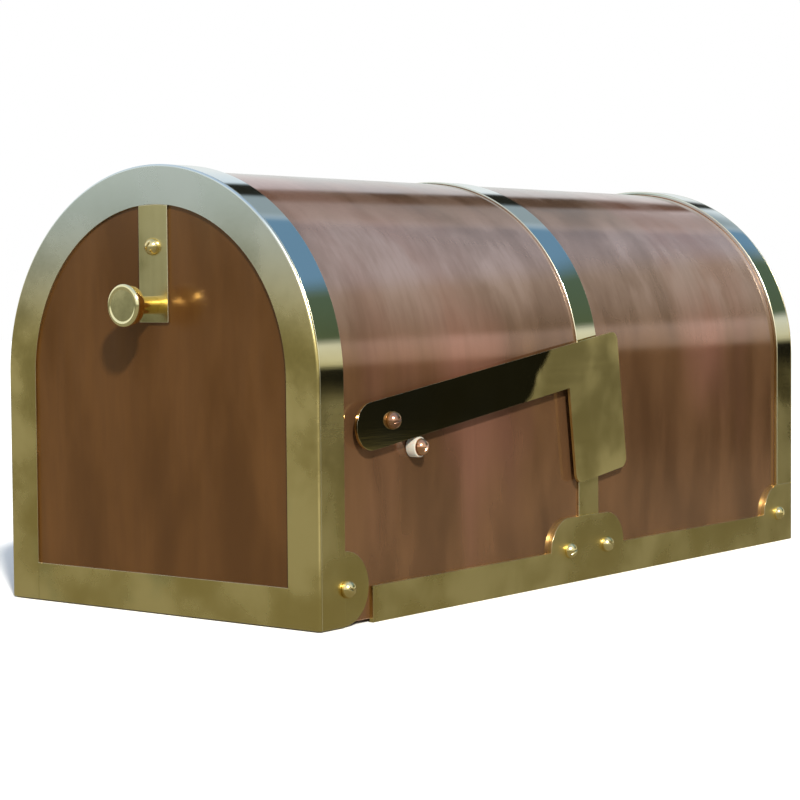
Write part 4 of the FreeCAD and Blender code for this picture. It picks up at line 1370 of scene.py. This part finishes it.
@dataclass
class CatchLeaf(SubAssembly):
    """The spring leaf under the crown."""

    thickness: float = 0.001
    bead: float = 0.003
    seat: float = 0.026

    def build(self) -> None:
        """Builds the leaf."""
        low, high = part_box("catch_leaf")
        bead, bend, gauge = low.y + self.bead, high.y - self.seat, self.thickness
        outline = Outline().to((low.y, low.z), (bead, low.z), (bend, high.z - gauge),
                               (high.y, high.z - gauge), (high.y, high.z), (bend, high.z),
                               (bead, low.z + gauge), (low.y, low.z + gauge))
        self.plate("catch_leaf", outline, Plane.SIDE, Edge.FINE, Finish.SPRING_BRASS)


@dataclass(frozen=True)
class KnobShape:
    """The knob's turned outline, from its seat on the strap to the middle of its face.

    The neck is given from the stem and the rim's back, the shoulder from the rim's back edge and the
    dish from the axis and the face.
    """

    stem: float = 0.0045
    foot: float = 0.0003
    neck: tuple[Pair, ...] = ((0.0, -0.0022), (0.0001, -0.0018), (0.0005, -0.0014))
    rim_depth: float = 0.0062
    rim_inset: float = 0.0007
    shoulder: tuple[Pair, ...] = ((-0.0008, -0.0001), (-0.0002, 0.0001), (0.0, 0.0005))
    rim_edge: float = 0.0015
    rim_round: float = 0.0014
    rim_steps: int = 8
    dish: tuple[Pair, ...] = ((0.0090, 0.0), (0.0087, 0.00005), (0.0084, 0.0003), (0.0081, 0.00035),
                              (0.0078, 0.00035), (0.0, 0.00035))

    def profile(self, reach: float, radius: float) -> list[Pair]:
        """Draws the outline.

        Args:
            reach: how far the knob stands over the strap.
            radius: radius of its rim.

        Returns:
            (radius, height) points.
        """
        back, inset = reach - self.rim_depth, radius - self.rim_inset
        points = [(0.0, 0.0), (self.stem, 0.0), (self.stem, self.foot)]
        points += [(self.stem + out, back + up) for out, up in self.neck]
        points += [(inset + out, back + up) for out, up in self.shoulder]
        points.append((radius, reach - self.rim_edge))
        for step in range(self.rim_steps, -1, -1):
            angle = step * math.pi / (2 * self.rim_steps)
            points.append((radius - self.rim_round * (1 - math.sin(angle)),
                           reach - self.rim_round * (1 - math.cos(angle))))
        return points + [(out, reach - down) for out, down in self.dish]


@dataclass
class Door(RingedPart):
    """The door: a copper panel in its brass ring and rim, with ears, strap, knob and catch tongue."""

    body: Body = Body.DOOR
    pin_room: float = 0.0027
    notch_steps: int = 24
    ear_radius: float = 0.0183
    ear_steps: int = 64
    strap_top: float = 0.0878
    strap_screw: float = 0.1625
    strap_shank: float = 0.0084
    strap_slot: float = 60.0
    knob: KnobShape = KnobShape()
    knob_height: float = 0.133
    knob_steps: int = 96
    knob_shank: float = 0.0158
    knob_slot: float = 35.0
    washer: tuple[Pair, ...] = ((0.0026, 0.0), (0.007, 0.0), (0.007, 0.0009), (0.0069, 0.001),
                                (0.0026, 0.001), (0.0026, 0.0))
    panel_back: float = -0.2362
    nut_seat: float = -0.2352
    tongue: float = 0.001

    def build(self) -> None:
        """Builds every piece of the door."""
        self.ring("door_ring", Facing.FRONT)
        self._rim()
        _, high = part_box("door_panel")
        self.panel("door_panel", high.z - high.x)
        for node in ("hinge_ear_right", "hinge_ear_left"):
            self._ear(node)
        self._strap()
        self._knob()
        self._tongue()

    def _rim(self) -> None:
        """The strip round the door, notched where the hinge screws pass."""
        notch = Outline().arc(self.hinge, self.pin_room, 0, 360 - 360 / self.notch_steps,
                              self.notch_steps - 1)
        cutter = sheet_mesh("notch", [notch], Plane.SIDE, -THROUGH, THROUGH)
        self.bent_strip("door_rim", self.sheet, Finish.BRASS_RIM, cutters=(cutter,))

    def _ear(self, node: str) -> None:
        """A round ear, trimmed behind the door panel.

        Args:
            node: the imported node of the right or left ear.
        """
        low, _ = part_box(node)
        back = math.degrees(math.acos(min(1.0, (self.hinge[0] - low.y) / self.ear_radius)))
        outline = Outline().arc(self.hinge, self.ear_radius, -180 + back, 180 - back, self.ear_steps)
        self.plate(node, outline, Plane.SIDE, Edge.STRAP, Finish.BRASS_RAIL)

    def _strap(self) -> None:
        """The strap that hangs from the ring's crown, with its screw and nut."""
        low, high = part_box("knob_strap")
        reach = math.degrees(math.asin(high.x / self.strap_top))
        outline = Outline().to((low.x, low.z), (high.x, low.z))
        outline.arc((0.0, self.centre), self.strap_top, 90 - reach, 90 + reach)
        self.plate("knob_strap", outline, Plane.END, Edge.STRAP, Finish.BRASS_STRAP)
        head = (Facing.FRONT, (0.0, low.y, self.strap_screw), self.strap_slot)
        self.fasten("strap_screw", [head], self.strap_shank, Finish.BRASS_SCREW)
        self.nut("strap_nut", [(Facing.REAR, (0.0, self.nut_seat, self.strap_screw), 0.0)])

    def _knob(self) -> None:
        """The turned knob, its washer and the screw that holds it from inside."""
        low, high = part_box("knob")
        profile = self.knob.profile(high.y - low.y, (high.z - low.z) / 2)
        self.turn("knob", profile, (Facing.FRONT, (0.0, high.y, self.knob_height), 0.0),
                  Finish.BRASS_KNOB, self.knob_steps)
        self.turn("knob_washer", self.washer,
                  (Facing.REAR, (0.0, self.panel_back, self.knob_height), 0.0), Finish.BRASS_NUT)
        head = (Facing.REAR, (0.0, self.nut_seat, self.knob_height), self.knob_slot)
        self.fasten("knob_screw", [head], self.knob_shank, Finish.BRASS_SCREW)

    def _tongue(self) -> None:
        """The bent strip behind the door that slides under the leaf."""
        low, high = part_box("catch_tongue")
        gauge = self.tongue
        outline = Outline().to((low.y, low.z), (low.y + gauge, low.z), (low.y + gauge, high.z - gauge),
                               (high.y, high.z - gauge), (high.y, high.z), (low.y, high.z))
        self.plate("catch_tongue", outline, Plane.SIDE, Edge.FINE, Finish.SPRING_BRASS)


@dataclass
class Flag(SubAssembly):
    """The signal flag on the right side: an arm and a paddle in one plate."""

    body: Body = Body.FLAG
    pivot: Pair = (-0.1852, 0.0753)
    slope: float = 7.7
    half_width: float = 0.0119
    tail: float = 0.0278
    tail_steps: int = 40
    paddle_start: float = 0.1588
    paddle_width: float = 0.0522
    paddle_drop: float = 0.06617
    corner: float = 0.0055
    corner_steps: int = 10

    def build(self) -> None:
        """Builds the flag's plate."""
        near, far = self.paddle_start, self.paddle_start + self.paddle_width
        half, corner = self.half_width, self.corner
        bottom = corner - self.paddle_drop
        outline = Outline().arc((half - self.tail, 0.0), half, 90, 270, self.tail_steps)
        outline.to((near, -half))
        for centre, start in (((near + corner, bottom), 180), ((far - corner, bottom), 270),
                              ((far - corner, half - corner), 0)):
            outline.arc(centre, corner, start, start + 90, self.corner_steps)
        outline.turned(self.pivot, self.slope)
        self.plate("flag", outline, Plane.SIDE, Edge.FLAG, Finish.BRASS_FLAG)


@dataclass
class FlagMounting(SubAssembly):
    """What holds the flag: its pivot and its stop, each a screw, a bush and a nut."""

    pivot: Pair = (-0.1852, 0.0753)
    stop: Pair = (-0.1631, 0.0607)
    bore: float = 0.00255
    spacer_chamfer: float = 0.0002
    roller_chamfer: float = 0.0006
    chamfer_bulge: float = 0.3
    pivot_seat: float = 0.1109
    pivot_shank: float = 0.0114
    stop_seat: float = 0.1112
    stop_shank: float = 0.0117
    slot_turns: Pair = (15.0, 50.0)
    nut_seat: float = 0.1041
    nut_turns: Pair = (0.0, 20.0)

    def build(self) -> None:
        """Builds the bushes, screws and nuts."""
        self._bush("flag_spacer", self.pivot, self.spacer_chamfer, Finish.BRASS_NUT)
        self._bush("flag_stop_roller", self.stop, self.roller_chamfer, Finish.WHITE_NYLON)
        for node, seat, place, turn, shank in (
                ("flag_pivot_screw", self.pivot_seat, self.pivot, self.slot_turns[0],
                 self.pivot_shank),
                ("flag_stop_screw", self.stop_seat, self.stop, self.slot_turns[1],
                 self.stop_shank)):
            self.fasten(node, [(Facing.RIGHT, (seat, *place), turn)], shank, Finish.COPPER_SCREW)
        for node, place, turn in (("flag_pivot_nut", self.pivot, self.nut_turns[0]),
                                  ("flag_stop_nut", self.stop, self.nut_turns[1])):
            self.nut(node, [(Facing.LEFT, (self.nut_seat, *place), turn)])

    def _bush(self, node: str, place: Pair, chamfer: float, finish: Finish) -> None:
        """Turns a bush with a bore, plain against the shell and rounder outside.

        Args:
            node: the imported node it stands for.
            place: its axis, along and up.
            chamfer: how far its corners are taken off.
            finish: its finish.
        """
        low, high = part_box(node)
        radius, length = (high.z - low.z) / 2, high.x - low.x
        bulge = chamfer * self.chamfer_bulge
        profile = [(self.bore, 0.0), (radius - chamfer, 0.0), (radius, chamfer),
                   (radius, length - chamfer), (radius - bulge, length - bulge),
                   (radius - chamfer, length), (self.bore, length), (self.bore, 0.0)]
        self.turn(node, profile, (Facing.RIGHT, (low.x, *place), 0.0), finish)


# ---- studio -------------------------------------------------------------------------------------

class Side(Enum):
    """The parts of the sky that its bands cover."""

    BEHIND_RIGHT = "behind the box, from its middle to the right"
    BEHIND_LEFT = "behind the box, far to the left"
    POLE = "behind the box, a narrow strip to the left"
    HEDGE = "behind the box, to the right only"
    AHEAD = "straight ahead of the flag's face"


@dataclass(frozen=True)
class SkyBand:
    """A soft band of the sky: the part it covers, its tone and the heights where it starts, is full,
    is still full and ends."""

    side: Side
    colour: Colour
    starts: float
    full: float
    still: float
    ends: float


SKY_TONES = ((-1.0, (0.24, 0.23, 0.17)), (-0.10, (0.30, 0.29, 0.22)), (-0.035, (0.20, 0.20, 0.15)),
             (-0.005, (0.06, 0.07, 0.05)), (0.03, (0.40, 0.42, 0.34)), (0.09, (0.80, 0.84, 0.82)),
             (0.32, (0.90, 0.93, 0.95)), (0.52, (0.76, 0.84, 0.95)), (0.75, (0.68, 0.78, 0.95)),
             (1.0, (0.46, 0.58, 0.80)))
SKY_BANDS = (SkyBand(Side.BEHIND_RIGHT, (0.17, 0.30, 0.45, 1.0), 0.40, 0.48, 0.90, 1.00),
             SkyBand(Side.BEHIND_LEFT, (0.34, 0.40, 0.44, 1.0), 0.40, 0.48, 0.90, 1.00),
             SkyBand(Side.POLE, (0.02, 0.02, 0.015, 1.0), 0.30, 0.36, 0.60, 0.66),
             SkyBand(Side.HEDGE, (0.10, 0.14, 0.09, 1.0), 0.17, 0.23, 0.44, 0.54),
             SkyBand(Side.AHEAD, (0.012, 0.013, 0.012, 1.0), -0.10, -0.065, 0.03, 0.07))


@dataclass(frozen=True)
class Studio:
    """Soft daylight from all round with a low sun, a pale floor and the camera."""

    floor_radius: float = 6.0
    floor_sides: int = 96
    floor_gap: float = 0.0002
    floor_tone: Colour = (0.84, 0.82, 0.78, 1.0)
    floor_dull: float = 0.9
    lens: float = 98.18
    sensor: float = 36.0
    clip: Pair = (0.05, 60.0)
    camera_at: Triple = (0.7759, -1.0334, 0.1410)
    azimuth: float = 37.905
    pitch: float = 2.955
    roll: float = -0.4386
    sun_from: Triple = (0.028, -0.0223, 0.024)
    sun_strength: float = 6.0
    sun_angle: float = 4.0
    sun_tone: Triple = (1.0, 0.97, 0.92)
    ahead: Pair = (0.58, 0.81)

    def build(self) -> None:
        """Sets the stage."""
        self._camera()
        self._sun()
        self._sky()
        self._floor()
        bpy.context.scene.view_settings.view_transform = "Standard"

    def _camera(self) -> None:
        """The camera, level but for a slight downward look."""
        azimuth, pitch, roll = (math.radians(a) for a in (self.azimuth, self.pitch, self.roll))
        forward = Vector((-math.sin(azimuth) * math.cos(pitch), math.cos(azimuth) * math.cos(pitch),
                          -math.sin(pitch)))
        level = Vector((math.cos(azimuth), math.sin(azimuth), 0.0))
        upright = level.cross(forward)
        right = level * math.cos(roll) + upright * math.sin(roll)
        up = upright * math.cos(roll) - level * math.sin(roll)
        camera = bpy.data.objects.new("camera", bpy.data.cameras.new("camera"))
        camera.data.lens, camera.data.sensor_width = self.lens, self.sensor
        camera.data.clip_start, camera.data.clip_end = self.clip
        rows = Matrix((right, up, -forward)).transposed().to_4x4()
        camera.matrix_world = Matrix.Translation(self.camera_at) @ rows
        bpy.context.scene.collection.objects.link(camera)
        bpy.context.scene.camera = camera

    def _sun(self) -> None:
        """A soft low light from the front right."""
        light = bpy.data.lights.new("sun", "SUN")
        light.energy, light.angle = self.sun_strength, math.radians(self.sun_angle)
        light.color = self.sun_tone
        sun = bpy.data.objects.new("sun", light)
        sun.rotation_mode = "QUATERNION"
        sun.rotation_quaternion = Vector(self.sun_from).to_track_quat("Z", "Y")
        bpy.context.scene.collection.objects.link(sun)

    def _sky(self) -> None:
        """Light from all round, with the soft bands that the polished rims mirror.

        The camera itself sees plain white.
        """
        world = bpy.data.worlds.new("studio")
        bpy.context.scene.world = world
        world.use_nodes = True
        world.node_tree.nodes.clear()
        wiring = Wiring(world.node_tree)
        direction = wiring.add("ShaderNodeTexCoord").outputs["Generated"]
        across, along, up = wiring.add("ShaderNodeSeparateXYZ", {0: direction}).outputs
        ramp = wiring.add("ShaderNodeValToRGB",
                          {0: wiring.calc("MULTIPLY_ADD", up, 0.5, 0.5)})
        elements = ramp.color_ramp.elements
        while len(elements) < len(SKY_TONES):
            elements.new(0.5)
        for element, (height, colour) in zip(elements, SKY_TONES):
            element.position, element.color = height * 0.5 + 0.5, (*colour, 1.0)
        light = ramp.outputs[0]
        sides = self._sides(wiring, across, along)
        for band in SKY_BANDS:
            share = wiring.calc("MULTIPLY", wiring.spread(up, band.starts, band.full),
                                wiring.spread(up, band.ends, band.still))
            light = wiring.blend(wiring.calc("MULTIPLY", share, sides[band.side]), light,
                                 band.colour)
        background = wiring.add("ShaderNodeBackground", {"Color": light, "Strength": 1.0})
        white = wiring.add("ShaderNodeBackground", {"Color": (1.0, 1.0, 1.0, 1.0), "Strength": 1.0})
        seen = wiring.add("ShaderNodeLightPath").outputs["Is Camera Ray"]
        mixed = wiring.add("ShaderNodeMixShader",
                           {0: seen, 1: background.outputs[0], 2: white.outputs[0]})
        wiring.add("ShaderNodeOutputWorld", {"Surface": mixed.outputs[0]})

    def _sides(self, wiring: Wiring, across: bpy.types.NodeSocket, along: bpy.types.NodeSocket
               ) -> dict[Side, bpy.types.NodeSocket]:
        """Masks for the parts of the sky.

        Args:
            wiring: adds nodes to the sky.
            across: the direction's part along +X.
            along: the direction's part along +Y.

        Returns:
            A mask for each side, 1 inside it and 0 outside.
        """
        behind = wiring.spread(along, 0.25, 0.65)
        left = wiring.spread(across, -0.04, -0.14)
        far_left = wiring.calc("MULTIPLY", left, wiring.spread(across, -0.47, -0.42))
        strip = wiring.calc("MULTIPLY", wiring.spread(across, -0.28, -0.33),
                            wiring.spread(across, -0.46, -0.42))
        toward = wiring.calc("ADD", wiring.calc("MULTIPLY", across, self.ahead[0]),
                             wiring.calc("MULTIPLY", along, self.ahead[1]))
        parts = {Side.BEHIND_RIGHT: wiring.calc("SUBTRACT", 1.0, left), Side.BEHIND_LEFT: far_left,
                 Side.POLE: strip, Side.HEDGE: wiring.spread(across, 0.02, 0.2)}
        masks = {side: wiring.calc("MULTIPLY", behind, part) for side, part in parts.items()}
        return masks | {Side.AHEAD: wiring.spread(toward, 0.80, 0.92)}

    def _floor(self) -> None:
        """A round pale floor under the rails."""
        work = bmesh.new()
        bmesh.ops.create_circle(work, cap_ends=True, radius=self.floor_radius,
                                segments=self.floor_sides)
        bmesh.ops.translate(work, verts=work.verts, vec=(0.0, 0.0, FRAME_BOX[0][2] - self.floor_gap))
        mesh = bpy.data.meshes.new("floor")
        work.to_mesh(mesh)
        work.free()
        floor = bpy.data.objects.new("floor", mesh)
        floor.visible_glossy = False
        bpy.context.scene.collection.objects.link(floor)
        material, wiring, _ = empty_material("floor")
        surface = wiring.add("ShaderNodeBsdfPrincipled", {"Base Color": self.floor_tone,
                                                          "Roughness": self.floor_dull})
        wiring.add("ShaderNodeOutputMaterial", {"Surface": surface.outputs[0]})
        mesh.materials.append(material)


# ---- the mailbox --------------------------------------------------------------------------------

def main() -> None:
    """Builds the studio and every sub-assembly."""
    logging.basicConfig(level=logging.INFO, format="%(name)s %(message)s")
    trees = Trees()
    for assembly in (Tunnel(trees), Rails(trees), Hinge(trees), CatchLeaf(trees), Door(trees),
                     Flag(trees), FlagMounting(trees)):
        log.info("building %s", type(assembly).__name__)
        assembly.build()
    Studio().build()


if __name__ == "__main__":
    main()
